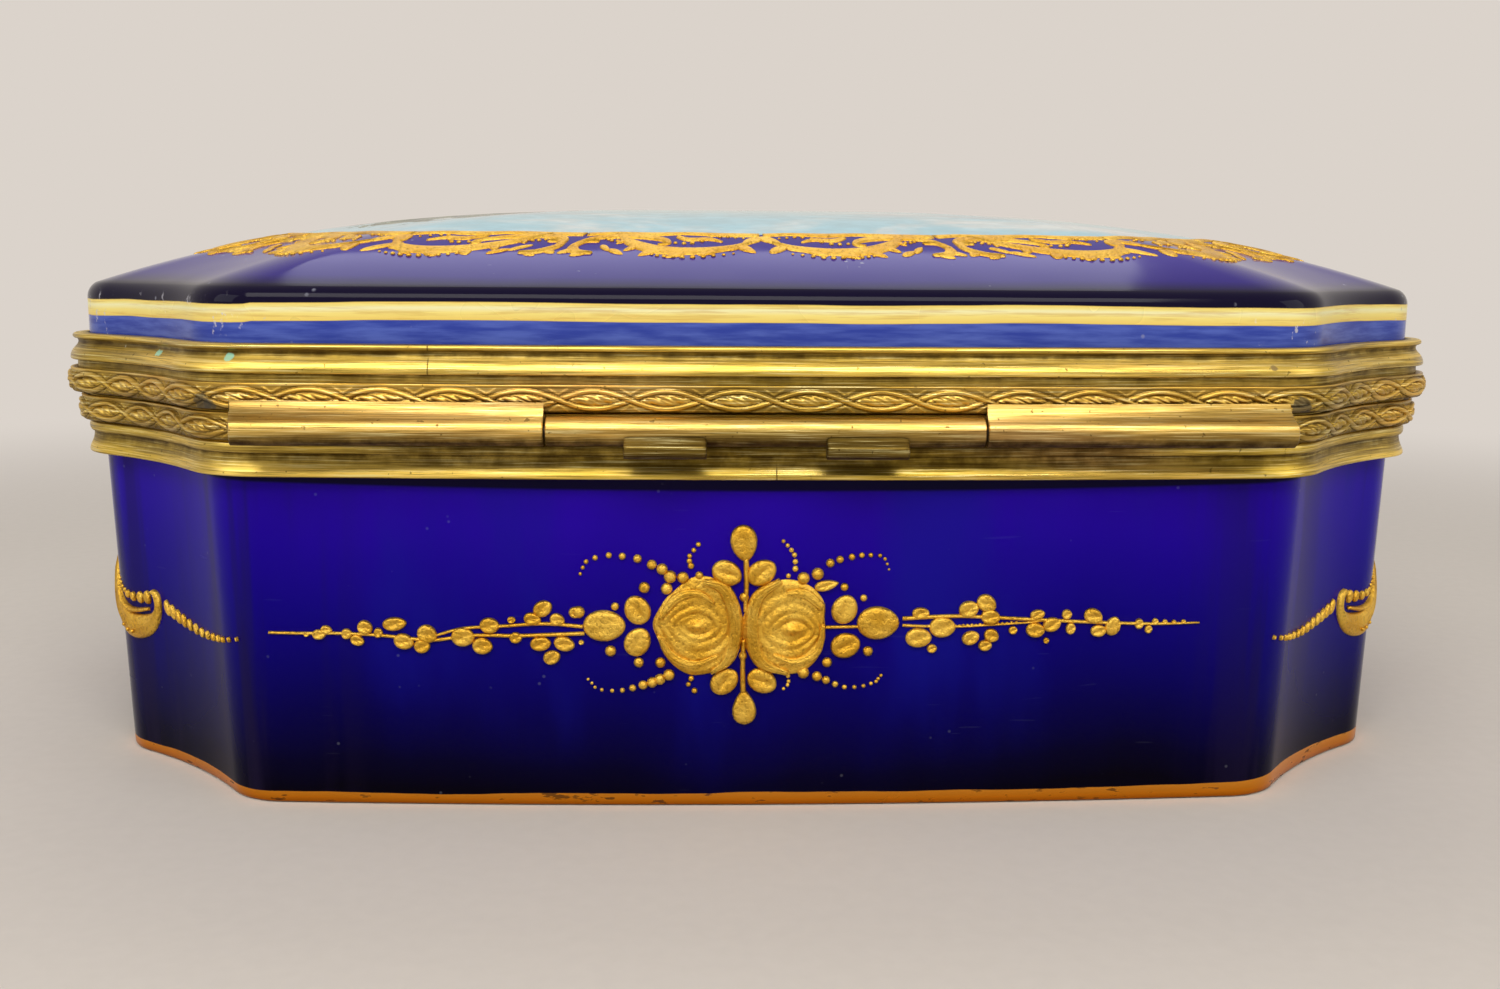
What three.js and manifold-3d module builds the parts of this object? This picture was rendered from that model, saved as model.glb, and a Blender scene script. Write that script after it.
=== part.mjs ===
// Porcelain jewelry box: a cobalt-glazed casket and domed lid, each cemented into a gilt brass mount.
// The plan is a rectangle with canted, slightly hollow corners. The mounts meet at a flat joint, a
// three-knuckle barrel hinge runs along the back, and a forked thumb-piece drops over a ball stud in front.
// Millimetres, +Z up. X runs along the length, the hinge is at +Y and the clasp at -Y.
import * as THREE from "three";
import { mergeVertices } from "three/addons/utils/BufferGeometryUtils.js";
import Module from "manifold-3d";

const wasm = await Module();
wasm.setup();

// Plan, drawn close to the porcelain; every line of the box is parallel to it, at its own offset
const HALF_LENGTH = 136; // centre to the short side
const HALF_DEPTH = 93; // centre to the middle of the long side
const LONG_SIDE_BOW = 3; // how far the long side stands out at its middle
const LONG_SIDE_RUN = 91.2; // centre to the start of the corner, along the length
const BEND_RADIUS = 17; // the two rounded bends of a corner
const SCOOP_RADIUS = 100; // the shallow hollow between them

// Clearances
const CEMENTED = 0.3; // between pieces that are soldered or cemented together
const LID_SEAT = 0.3; // between the two mounts when the lid is shut
const PIN_PLAY = 0.3; // round the hinge pin
const KNUCKLE_PLAY = 0.35; // between neighbouring knuckles, end to end
const FORK_PLAY = 0.5; // each side of the clasp stud's neck

// Porcelain bowl; an offset is measured outwards from the plan
const BOWL_FOOT_OFFSET = -3.2;
const BOWL_RIM_OFFSET = -0.9;
const BOWL_WALL = 4.5;
const FOOT_RING_WIDTH = 3.9;
const FOOT_RECESS = 2.5; // the underside inside the foot ring
const FLOOR_THICKNESS = 4;
const EDGE_ROUND = 0.4; // softened arrises of the porcelain
const FLOOR_FILLET = 6;

// Base mount, from its lower edge up
const BASE_MOUNT_BOTTOM = 62.8;
const LIP_HEIGHT = 1; // where a mount closes in on the porcelain
const LOWER_REED_HEIGHT = 2.8;
const BASE_COVE_HEIGHT = 2;
const UPPER_REED_HEIGHT = 1.7;
const BASE_BACKING_HEIGHT = 5.4; // the flat band behind the ornament
const BASE_INNER_OFFSET = 0.3; // inner face, against the cement
const BASE_GROUND_OFFSET = 1.2; // the flat that the reeds stand on
const LOWER_REED_OUT = 0.8;
const UPPER_REED_OUT = 0.5;
const BASE_COVE_IN = 0.35;
const BASE_BACKING_OFFSET = 1.6;

// Lid mount, from its lower face up
const LID_BACKING_HEIGHT = 5.2;
const LID_FILLET_HEIGHT = 0.6;
const LID_GROOVE_HEIGHT = 0.6;
const SWELL_HEIGHT = 3;
const LID_COVE_HEIGHT = 1.4;
const TOP_BEAD_HEIGHT = 1;
const LID_INNER_OFFSET = 2;
const LID_GROUND_OFFSET = 3.2;
const LID_BACKING_OFFSET = 3.3;
const LID_FILLET_OUT = 1.1;
const SWELL_OUT = 1.4;
const LID_COVE_IN = 0.6;
const TOP_BEAD_OUT = 0.8;

// Ornament strips, stamped with a guilloche, soldered to the backing of each mount
const STRIP_MARGIN = 0.2; // left bare above and below a strip
const STRIP_EDGE = 1; // thickness at its edges
const STRIP_CROWN = 0.9; // how far its middle stands out past its edges

// Inner collars, which line the rims and carry the flat joint faces
const COLLAR_FLANGE = 2;
const COLLAR_SKIRT = 0.8;
const COLLAR_DEPTH = 9;

// Porcelain lid
const LID_WALL_OFFSET = 0.8;
const LID_WALL_THICKNESS = 4.5;
const LID_WALL_SHOWN = 7; // from the top of its mount to the top of the gold band
const SHOULDER_RADIUS = 3.5;
const SHOULDER_TURN = Math.PI / 3; // how far the shoulder rolls over before the dome takes it up
const DOME_RISE = 16.5;
const DOME_FULLNESS = 3; // exponent of the dome's curve: higher is flatter on top
const DOME_THICKNESS = 4;

// Hinge
const BARREL_RADIUS = 2.65;
const BARREL_HALF_LENGTH = 94.3;
const CENTRE_KNUCKLE_HALF = 39;
const PIN_RADIUS = 1.15;
const PIN_SET_BACK = 1; // how far the pin's ends lie inside the barrel
const BARREL_DROP = 0.1; // top of the barrel below the base mount's top face
const BARREL_STAND_OFF = 5.2; // barrel axis behind the plan, at the middle of the back
const BARREL_CHAMFER = 0.3;
const LAP_HEIGHT = 1.8; // how far a lid knuckle's fillet laps up over the ornament strip
const LAP_THICKNESS = 0.8;
const WEB_MARGIN = 0.3; // solder web of the centre knuckle, inside the backing band
const LUG_FROM = 10.5; // stop lugs, from the middle of the box
const LUG_TO = 25;
const LUG_REACH = 4.6; // furthest point behind the hinge axis
const LUG_TOP = 0.75; // start and end of the filed face, below the axis
const LUG_FACE_END = 2.25;
const LUG_NOSE = 0.5; // upright edge under the filed face
const LUG_BOTTOM = 4.6;
const LUG_BELLY = 2.4; // depth of the rounded front
const LUG_BELLY_TURN = THREE.MathUtils.degToRad(115);
const LUG_WRAP = THREE.MathUtils.degToRad(72); // how far the lug reaches round under the barrel

// Clasp
const THUMBPIECE_HALF_WIDTH = 7.5;
const THUMBPIECE_THICKNESS = 1.3;
const THUMBPIECE_ABOVE_JOINT = 5.6;
const THUMBPIECE_SHOULDER = 2.6; // where it is widest, above the stud
const THUMBPIECE_CORNER = 1.6; // how far its top corners are drawn in
const THUMBPIECE_CREST = 2.6; // half width of the small peak at its top
const TINE_BELOW_STUD = 4.2;
const TINE_WIDTH = 3.2;
const TINE_ROUND = 2.6; // height of a tine's rounded tip
const PULL_LIP_ABOVE_STUD = 4.2;
const PULL_LIP_WIDTH = 9;
const PULL_LIP_OUT = 2.4;
const PULL_LIP_HEIGHT = 1.6;
const NECK_RADIUS = 1.4;
const BALL_RADIUS = 2.3;
const BALL_PROUD = 1.84; // centre of the ball in front of the fork
const ROSE_RADIUS = 3.2;
const ROSE_THICKNESS = 0.9;

// Facets
const BOW_STEPS = 3;
const BEND_STEPS = 4;
const SCOOP_STEPS = 3;
const SHOULDER_STEPS = 3;
const DOME_STEPS = 8;
const FLOOR_FILLET_STEPS = 3;
const LUG_STEPS = 4;
const ROUND_SIDES = 24;
const WEB_STEPS = 6;

// Heights that follow from the sizes above
const BASE_BACKING_Z = BASE_MOUNT_BOTTOM + LOWER_REED_HEIGHT + BASE_COVE_HEIGHT + UPPER_REED_HEIGHT;
const JOINT_Z = BASE_BACKING_Z + BASE_BACKING_HEIGHT;
const LID_Z = JOINT_Z + LID_SEAT;
const BOWL_RIM_Z = JOINT_Z - COLLAR_FLANGE - CEMENTED;
const LID_RIM_Z = LID_Z + COLLAR_FLANGE + CEMENTED;
const LID_FILLET_Z = LID_Z + LID_BACKING_HEIGHT;
const SWELL_Z = LID_FILLET_Z + LID_FILLET_HEIGHT + LID_GROOVE_HEIGHT;
const LID_COVE_Z = SWELL_Z + SWELL_HEIGHT;
const TOP_BEAD_Z = LID_COVE_Z + LID_COVE_HEIGHT;
const LID_MOUNT_TOP = TOP_BEAD_Z + TOP_BEAD_HEIGHT;
const SHOULDER_Z = LID_MOUNT_TOP + LID_WALL_SHOWN;
const DOME_Z = SHOULDER_Z + SHOULDER_RADIUS * Math.sin(SHOULDER_TURN);
const DOME_OFFSET = LID_WALL_OFFSET - SHOULDER_RADIUS * (1 - Math.cos(SHOULDER_TURN));
const FLOOR_Z = FOOT_RECESS + FLOOR_THICKNESS;
const HINGE_Y = HALF_DEPTH + BARREL_STAND_OFF;
const HINGE_Z = JOINT_Z - BARREL_DROP - BARREL_RADIUS;
const LID_STRIP_OFFSET = LID_BACKING_OFFSET + CEMENTED;
const BASE_STRIP_OFFSET = BASE_BACKING_OFFSET + CEMENTED;
const STRIP_THICKNESS = STRIP_EDGE + STRIP_CROWN;
const WEB_SPREAD = 0.9 * BARREL_RADIUS; // half the width of a web where it runs into its barrel
const WEB_ROOT = 0.3 * BARREL_RADIUS; // that place's distance from the barrel's axis

// Materials
const cobaltGlaze = new THREE.MeshStandardMaterial({ color: 0x0a1c7a, roughness: 0.12, metalness: 0 });
const gilding = new THREE.MeshStandardMaterial({ color: 0xc9a45c, roughness: 0.38, metalness: 1 });
const wornBrass = new THREE.MeshStandardMaterial({ color: 0xa8864c, roughness: 0.45, metalness: 1 });
const steel = new THREE.MeshStandardMaterial({ color: 0x6d6a66, roughness: 0.5, metalness: 1 });
const cement = new THREE.MeshStandardMaterial({ color: 0xcfc6b0, roughness: 0.95, metalness: 0 });

// A point of the long side at x, with the direction that faces out of the box there.
function longSidePoint(x) {
  const radius = (LONG_SIDE_RUN ** 2 + LONG_SIDE_BOW ** 2) / (2 * LONG_SIDE_BOW);
  const centreY = HALF_DEPTH - radius;
  const y = centreY + Math.sqrt(radius ** 2 - x ** 2);
  return { x, y, nx: x / radius, ny: (y - centreY) / radius };
}

// Stations along an arc, without its first point. A hollow arc faces its own centre.
function arcStations(centre, radius, from, to, steps, hollow) {
  const facing = hollow ? -1 : 1;
  return Array.from({ length: steps }, (_, i) => {
    const angle = from + ((to - from) * (i + 1)) / steps;
    const nx = Math.cos(angle);
    const ny = Math.sin(angle);
    return { x: centre.x + radius * nx, y: centre.y + radius * ny, nx: facing * nx, ny: facing * ny };
  });
}

// One quarter of the plan, from the middle of the back (x = 0) round the corner to the short side.
function quarterPlan() {
  const side = Array.from({ length: BOW_STEPS + 1 }, (_, i) => longSidePoint((LONG_SIDE_RUN * i) / BOW_STEPS));
  const end = side[BOW_STEPS];
  const bendA = new THREE.Vector2(end.x - BEND_RADIUS * end.nx, end.y - BEND_RADIUS * end.ny);
  const bendB = new THREE.Vector2(
    HALF_LENGTH - BEND_RADIUS,
    HALF_DEPTH - LONG_SIDE_BOW - (HALF_LENGTH - LONG_SIDE_RUN),
  );
  const reach = BEND_RADIUS + SCOOP_RADIUS;
  const along = bendB.clone().sub(bendA);
  const halfSpan = along.length() / 2;
  const outward = new THREE.Vector2(-along.y, along.x).normalize();
  const scoop = bendA.clone().add(bendB).multiplyScalar(0.5);
  scoop.addScaledVector(outward, Math.sqrt(reach ** 2 - halfSpan ** 2));
  const angle = (a, b) => Math.atan2(b.y - a.y, b.x - a.x);
  const turnA = angle(bendA, scoop);
  const turnB = angle(bendB, scoop);
  const start = Math.atan2(end.ny, end.nx);
  return [
    ...side,
    ...arcStations(bendA, BEND_RADIUS, start, turnA, BEND_STEPS, false),
    ...arcStations(scoop, SCOOP_RADIUS, turnA - Math.PI, turnB - Math.PI, SCOOP_STEPS, true),
    ...arcStations(bendB, BEND_RADIUS, turnB, 0, BEND_STEPS, false),
  ];
}

// The whole plan, clockwise from the middle of the back, as stations with their facing directions.
function wholePlan() {
  const quarter = quarterPlan();
  const flip = (s, fx, fy) => ({ x: s.x * fx, y: s.y * fy, nx: s.nx * fx, ny: s.ny * fy });
  const right = [...quarter, ...quarter.map((s) => flip(s, 1, -1)).reverse()];
  const left = right.map((s) => flip(s, -1, 1)).reverse();
  return [...right, ...left.slice(1, -1)];
}
const PLAN = wholePlan();

// The station at which the line at this offset passes x on the back, between its two neighbours.
function backStation(x, offset) {
  const along = (s) => s.x + s.nx * offset;
  const next = PLAN.findIndex((s) => along(s) > x);
  const [a, b] = [PLAN[next - 1], PLAN[next]];
  const share = THREE.MathUtils.inverseLerp(along(a), along(b), x);
  const between = (key) => THREE.MathUtils.lerp(a[key], b[key], share);
  return { x: between("x"), y: between("y"), nx: between("nx"), ny: between("ny") };
}

// How far back the line at this offset lies at x.
function backReach(x, offset) {
  const s = backStation(Math.abs(x), offset);
  return s.y + s.ny * offset;
}

// A level ring parallel to the plan, optionally drawn in towards the centre.
function ring(offset, z, scale = 1, stations = PLAN) {
  return stations.map(
    (s) => new THREE.Vector3((s.x + s.nx * offset) * scale, (s.y + s.ny * offset) * scale, z),
  );
}

// Skin over a row of closed loops with equal counts. The row is joined end to end, or capped at both ends.
function skin(loops, joined) {
  const count = loops[0].length;
  const points = loops.flat();
  const faces = [];
  const quad = (a, b) => {
    for (let i = 0; i < count; i++) {
      const next = (i + 1) % count;
      faces.push(a * count + i, a * count + next, b * count + i);
      faces.push(a * count + next, b * count + next, b * count + i);
    }
  };
  for (let row = 0; row + 1 < loops.length; row++) quad(row, row + 1);
  if (joined) {
    quad(loops.length - 1, 0);
  } else {
    const cap = (row, turn) => {
      const middle = new THREE.Vector3();
      loops[row].forEach((p) => middle.addScaledVector(p, 1 / count));
      points.push(middle);
      for (let i = 0; i < count; i++) {
        const a = row * count + i;
        const b = row * count + ((i + 1) % count);
        faces.push(points.length - 1, ...(turn ? [a, b] : [b, a]));
      }
    };
    cap(0, false);
    cap(loops.length - 1, true);
  }
  const geometry = new THREE.BufferGeometry().setFromPoints(points);
  geometry.setIndex(faces);
  return facingOut(geometry);
}

// The same geometry with its faces turned outwards.
function facingOut(geometry) {
  const p = geometry.getAttribute("position");
  const index = Array.from(geometry.index.array);
  const [a, b, c] = [new THREE.Vector3(), new THREE.Vector3(), new THREE.Vector3()];
  let volume = 0;
  for (let i = 0; i < index.length; i += 3) {
    [a, b, c].forEach((v, k) => v.fromBufferAttribute(p, index[i + k]));
    volume += a.dot(b.cross(c));
  }
  if (volume < 0) geometry.setIndex(index.reverse());
  return geometry;
}

// manifold-3d solids, used only to join and cut.
function solid(geometry) {
  const bare = geometry.clone();
  bare.deleteAttribute("normal");
  bare.deleteAttribute("uv");
  const merged = mergeVertices(bare, 1e-4);
  return new wasm.Manifold(
    new wasm.Mesh({
      numProp: 3,
      vertProperties: merged.getAttribute("position").array,
      triVerts: new Uint32Array(merged.index.array),
    }),
  );
}
function geometryOf(made) {
  const { numProp, vertProperties, triVerts } = made.getMesh();
  const positions = new Float32Array((vertProperties.length / numProp) * 3);
  for (let i = 0; i < positions.length / 3; i++) {
    positions.set(vertProperties.subarray(i * numProp, i * numProp + 3), i * 3);
  }
  const geometry = new THREE.BufferGeometry();
  geometry.setAttribute("position", new THREE.BufferAttribute(positions, 3));
  return geometry.setIndex(new THREE.BufferAttribute(new Uint32Array(triVerts), 1));
}

function piece(name, geometry, material) {
  const mesh = new THREE.Mesh(geometry, material);
  mesh.name = name;
  geometry.computeVertexNormals();
  return mesh;
}

// A run of a section from z = low to z = high that swells out by `out` in its middle, or in if negative.
function roll(offset, low, high, out, steps) {
  return Array.from({ length: steps + 1 }, (_, i) => {
    const angle = (Math.PI * i) / steps;
    const middle = (low + high) / 2;
    return [offset + out * Math.sin(angle), middle - ((high - low) / 2) * Math.cos(angle)];
  });
}

// Sweeps a closed section of [offset, z] points round the plan.
function sweep(section) {
  return skin(section.map(([offset, z]) => ring(offset, z)), true);
}

// Outer face of the bowl, which tapers in towards the foot.
function bowlOffset(z) {
  return THREE.MathUtils.mapLinear(z, 0, BOWL_RIM_Z, BOWL_FOOT_OFFSET, BOWL_RIM_OFFSET);
}

function baseBowl() {
  const footOut = BOWL_FOOT_OFFSET - EDGE_ROUND;
  const footIn = footOut - FOOT_RING_WIDTH;
  const inside = (z) => bowlOffset(z) - BOWL_WALL;
  const filletTop = FLOOR_Z + FLOOR_FILLET;
  const fillet = Array.from({ length: FLOOR_FILLET_STEPS + 1 }, (_, i) => {
    const angle = (Math.PI / 2) * (i / FLOOR_FILLET_STEPS);
    const drawnIn = (FLOOR_FILLET * (1 - Math.cos(angle))) / HALF_LENGTH;
    return ring(inside(filletTop), filletTop - FLOOR_FILLET * Math.sin(angle), 1 - drawnIn);
  });
  return skin(
    [
      ring(footIn - EDGE_ROUND, FOOT_RECESS),
      ring(footIn, EDGE_ROUND),
      ring(footIn, 0),
      ring(footOut, 0),
      ring(bowlOffset(EDGE_ROUND), EDGE_ROUND),
      ring(bowlOffset(BOWL_RIM_Z), BOWL_RIM_Z - EDGE_ROUND),
      ring(bowlOffset(BOWL_RIM_Z) - EDGE_ROUND, BOWL_RIM_Z),
      ring(inside(BOWL_RIM_Z) + EDGE_ROUND, BOWL_RIM_Z),
      ring(inside(BOWL_RIM_Z), BOWL_RIM_Z - EDGE_ROUND),
      ...fillet,
    ],
    false,
  );
}

function baseMoulding() {
  const lip = bowlOffset(BASE_MOUNT_BOTTOM + LIP_HEIGHT) + CEMENTED;
  const coveZ = BASE_MOUNT_BOTTOM + LOWER_REED_HEIGHT;
  const reedZ = coveZ + BASE_COVE_HEIGHT;
  return sweep([
    [lip, BASE_MOUNT_BOTTOM],
    ...roll(BASE_GROUND_OFFSET, BASE_MOUNT_BOTTOM, coveZ, LOWER_REED_OUT, 4),
    ...roll(BASE_GROUND_OFFSET, coveZ, reedZ, -BASE_COVE_IN, 2).slice(1),
    ...roll(BASE_GROUND_OFFSET, reedZ, BASE_BACKING_Z, UPPER_REED_OUT, 4).slice(1),
    [BASE_BACKING_OFFSET, BASE_BACKING_Z],
    [BASE_BACKING_OFFSET, JOINT_Z],
    [BASE_INNER_OFFSET, JOINT_Z],
    [BASE_INNER_OFFSET, BASE_MOUNT_BOTTOM + LIP_HEIGHT],
    [lip, BASE_MOUNT_BOTTOM + LIP_HEIGHT],
  ]);
}

function lidMoulding() {
  const top = LID_MOUNT_TOP - LIP_HEIGHT;
  return sweep([
    [LID_INNER_OFFSET, LID_Z],
    [LID_BACKING_OFFSET, LID_Z],
    [LID_BACKING_OFFSET, LID_FILLET_Z],
    [LID_GROUND_OFFSET + LID_FILLET_OUT, LID_FILLET_Z],
    [LID_GROUND_OFFSET + LID_FILLET_OUT, LID_FILLET_Z + LID_FILLET_HEIGHT],
    [LID_GROUND_OFFSET, LID_FILLET_Z + LID_FILLET_HEIGHT],
    ...roll(LID_GROUND_OFFSET, SWELL_Z, LID_COVE_Z, SWELL_OUT, 6),
    ...roll(LID_GROUND_OFFSET, LID_COVE_Z, TOP_BEAD_Z, -LID_COVE_IN, 2).slice(1),
    ...roll(LID_GROUND_OFFSET, TOP_BEAD_Z, LID_MOUNT_TOP, TOP_BEAD_OUT, 4).slice(1),
    [LID_WALL_OFFSET + CEMENTED, LID_MOUNT_TOP],
    [LID_WALL_OFFSET + CEMENTED, top],
    [LID_INNER_OFFSET, top],
  ]);
}

// Cement that beds the porcelain in its mount, from z = low to z = high.
function cementBed(inner, outer, low, high) {
  return sweep([
    [inner(low) + CEMENTED, low],
    [outer - CEMENTED, low],
    [outer - CEMENTED, high],
    [inner(high) + CEMENTED, high],
  ]);
}

// Collar with its flange across the porcelain's rim and its skirt down, or up, inside the wall.
function rimCollar(wallInside, outer, face, inwards) {
  const skirtOut = wallInside - CEMENTED;
  const skirtIn = skirtOut - COLLAR_SKIRT;
  const underside = face + inwards * COLLAR_FLANGE;
  const skirtEnd = face + inwards * COLLAR_DEPTH;
  return sweep([
    [skirtIn, face],
    [outer - CEMENTED, face],
    [outer - CEMENTED, underside],
    [skirtOut, underside],
    [skirtOut, skirtEnd],
    [skirtIn, skirtEnd],
  ]);
}

// Section of an ornament strip: flat at the back, crowned in front.
function stripSection(offset, low, high) {
  return [[offset, low], ...roll(offset + STRIP_EDGE, low, high, STRIP_CROWN, 4), [offset, high]];
}

function lidStrip() {
  return sweep(stripSection(LID_STRIP_OFFSET, LID_Z + STRIP_MARGIN, LID_FILLET_Z - STRIP_MARGIN));
}

// The base's strip stops at the two ends of the hinge barrel.
function baseStrip() {
  const section = stripSection(BASE_STRIP_OFFSET, BASE_BACKING_Z + STRIP_MARGIN, JOINT_Z - STRIP_MARGIN);
  const end = backStation(BARREL_HALF_LENGTH + KNUCKLE_PLAY, 0);
  const otherEnd = { ...end, x: -end.x, nx: -end.nx };
  const behindBarrel = (s) => s.y > 0 && Math.abs(s.x) < end.x + KNUCKLE_PLAY;
  const stations = [end, ...PLAN.filter((s) => !behindBarrel(s)), otherEnd];
  const rows = section.map(([offset, z]) => ring(offset, z, 1, stations));
  return skin(stations.map((_, i) => rows.map((row) => row[i])), false);
}

// Height of the dome where the plan is drawn in to the share k.
function domeRise(k) {
  return DOME_RISE * (1 - k ** DOME_FULLNESS);
}

function lidDome() {
  const shoulder = Array.from({ length: SHOULDER_STEPS + 1 }, (_, i) => {
    const angle = SHOULDER_TURN * (i / SHOULDER_STEPS);
    const offset = LID_WALL_OFFSET - SHOULDER_RADIUS * (1 - Math.cos(angle));
    return ring(offset, SHOULDER_Z + SHOULDER_RADIUS * Math.sin(angle));
  });
  const turn = Math.PI / 2 / (DOME_STEPS + 1);
  const outside = Array.from({ length: DOME_STEPS }, (_, i) => Math.cos(turn * (i + 1)));
  const inside = outside.filter((_, i) => i % 2 === 1).reverse();
  const innerOffset = LID_WALL_OFFSET - LID_WALL_THICKNESS;
  const innerZ = DOME_Z - DOME_THICKNESS;
  return skin(
    [
      ...inside.map((k) => ring(innerOffset, innerZ + domeRise(k), k)),
      ring(innerOffset, innerZ),
      ring(innerOffset, LID_RIM_Z + EDGE_ROUND),
      ring(innerOffset + EDGE_ROUND, LID_RIM_Z),
      ring(LID_WALL_OFFSET - EDGE_ROUND, LID_RIM_Z),
      ring(LID_WALL_OFFSET, LID_RIM_Z + EDGE_ROUND),
      ...shoulder,
      ...outside.map((k) => ring(DOME_OFFSET, DOME_Z + domeRise(k), k)),
    ],
    false,
  );
}

// Tube along X from x = from to x = to, about the hinge axis.
function barrel(from, to) {
  const bore = PIN_RADIUS + PIN_PLAY;
  const length = to - from;
  const profile = [
    [bore, 0],
    [BARREL_RADIUS - BARREL_CHAMFER, 0],
    [BARREL_RADIUS, BARREL_CHAMFER],
    [BARREL_RADIUS, length - BARREL_CHAMFER],
    [BARREL_RADIUS - BARREL_CHAMFER, length],
    [bore, length],
    [bore, 0],
  ].map(([r, y]) => new THREE.Vector2(r, y));
  const tube = new THREE.LatheGeometry(profile, ROUND_SIDES);
  tube.rotateZ(-Math.PI / 2).translate(from, HINGE_Y, HINGE_Z);
  return solid(tube);
}

// Clears the pin's bore through a web that crosses it.
function bored(made, from, to) {
  const bore = PIN_RADIUS + PIN_PLAY;
  const drill = new THREE.CylinderGeometry(bore, bore, to - from + 2 * PIN_SET_BACK, ROUND_SIDES);
  drill.rotateZ(Math.PI / 2).translate((from + to) / 2, HINGE_Y, HINGE_Z);
  return made.subtract(solid(drill));
}

// Web between a knuckle and its mount, lofted along X because the mount bows and the barrel is straight.
function web(from, to, section) {
  const loops = Array.from({ length: WEB_STEPS + 1 }, (_, i) => {
    const x = from + ((to - from) * i) / WEB_STEPS;
    return section(x).map(([y, z]) => new THREE.Vector3(x, y, z));
  });
  return solid(skin(loops, false));
}

// A lid knuckle: its web rises to the mount's lower face, and a fillet laps up over the ornament strip.
function lidKnuckle(from, to) {
  const under = LID_Z - CEMENTED;
  const lapTop = LID_Z + STRIP_MARGIN + LAP_HEIGHT;
  const section = (x) => {
    const lapIn = backReach(x, LID_STRIP_OFFSET + STRIP_THICKNESS) + CEMENTED;
    return [
      [HINGE_Y - WEB_SPREAD, HINGE_Z + WEB_ROOT],
      [HINGE_Y + WEB_SPREAD, HINGE_Z + WEB_ROOT],
      [lapIn + LAP_THICKNESS, lapTop],
      [lapIn, lapTop],
      [lapIn, under],
      [backReach(x, LID_INNER_OFFSET) + CEMENTED, under],
    ];
  };
  return geometryOf(bored(barrel(from, to).add(web(from, to, section)), from, to));
}

// The base knuckle: its web fills in to the backing band of the base mount.
function centreKnuckle() {
  const half = CENTRE_KNUCKLE_HALF - KNUCKLE_PLAY;
  const section = (x) => {
    const band = backReach(x, BASE_BACKING_OFFSET) + CEMENTED;
    return [
      [band, JOINT_Z - 2 * WEB_MARGIN],
      [band, BASE_BACKING_Z + WEB_MARGIN],
      [HINGE_Y - WEB_ROOT, HINGE_Z - WEB_SPREAD],
      [HINGE_Y - WEB_ROOT, HINGE_Z + WEB_SPREAD],
    ];
  };
  return geometryOf(bored(barrel(-half, half).add(web(-half, half, section)), -half, half));
}

// Stop lug: a small block under the back of the barrel, with a filed face that the open lid rests on.
function stopLug(from, to) {
  const hug = BARREL_RADIUS + CEMENTED;
  const hollow = Array.from({ length: LUG_STEPS + 1 }, (_, i) => {
    const angle = THREE.MathUtils.mapLinear(i, 0, LUG_STEPS, -LUG_WRAP, -Math.asin(LUG_TOP / hug));
    return [hug * Math.cos(angle), hug * Math.sin(angle)];
  });
  const bellyZ = -LUG_FACE_END - LUG_NOSE;
  const belly = Array.from({ length: LUG_STEPS + 1 }, (_, i) => {
    const angle = (i / LUG_STEPS) * LUG_BELLY_TURN;
    return [LUG_REACH - LUG_BELLY * (1 - Math.cos(angle)), bellyZ - (LUG_BOTTOM + bellyZ) * Math.sin(angle)];
  });
  const outline = [...hollow, [LUG_REACH, -LUG_FACE_END], ...belly];
  const loops = [from, to].map((x) => outline.map(([y, z]) => new THREE.Vector3(x, HINGE_Y + y, HINGE_Z + z)));
  return skin(loops, false);
}

function hingePin() {
  const length = 2 * (BARREL_HALF_LENGTH - PIN_SET_BACK);
  const pin = new THREE.CylinderGeometry(PIN_RADIUS, PIN_RADIUS, length, ROUND_SIDES / 2);
  return pin.rotateZ(Math.PI / 2).translate(0, HINGE_Y, HINGE_Z);
}

// Clasp stud: a round rose on the base strip, a neck, and a ball that the fork snaps behind.
const CLASP_Y = -HALF_DEPTH;
const STUD_Z = HINGE_Z;
const ROSE_OUT = BASE_STRIP_OFFSET + STRIP_THICKNESS + CEMENTED;
const FORK_OUT = LID_STRIP_OFFSET + STRIP_THICKNESS + CEMENTED;
const BALL_OUT = FORK_OUT + THUMBPIECE_THICKNESS + CEMENTED + BALL_PROUD;
function claspStud() {
  const ballStart = Math.asin(NECK_RADIUS / BALL_RADIUS);
  const ballSteps = ROUND_SIDES / 4;
  const ball = Array.from({ length: ballSteps + 1 }, (_, i) => {
    const angle = ballStart + ((Math.PI - ballStart) * i) / ballSteps;
    return [BALL_RADIUS * Math.sin(angle), BALL_OUT - BALL_RADIUS * Math.cos(angle)];
  });
  const profile = [
    [0, ROSE_OUT],
    [ROSE_RADIUS, ROSE_OUT],
    [ROSE_RADIUS, ROSE_OUT + ROSE_THICKNESS / 2],
    [ROSE_RADIUS - ROSE_THICKNESS / 2, ROSE_OUT + ROSE_THICKNESS],
    [NECK_RADIUS, ROSE_OUT + ROSE_THICKNESS],
    ...ball.slice(0, -1),
    [0, BALL_OUT + BALL_RADIUS],
  ].map(([r, y]) => new THREE.Vector2(r, y));
  const stud = new THREE.LatheGeometry(profile, ROUND_SIDES / 2);
  return stud.rotateZ(Math.PI).translate(0, CLASP_Y, STUD_Z);
}

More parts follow.
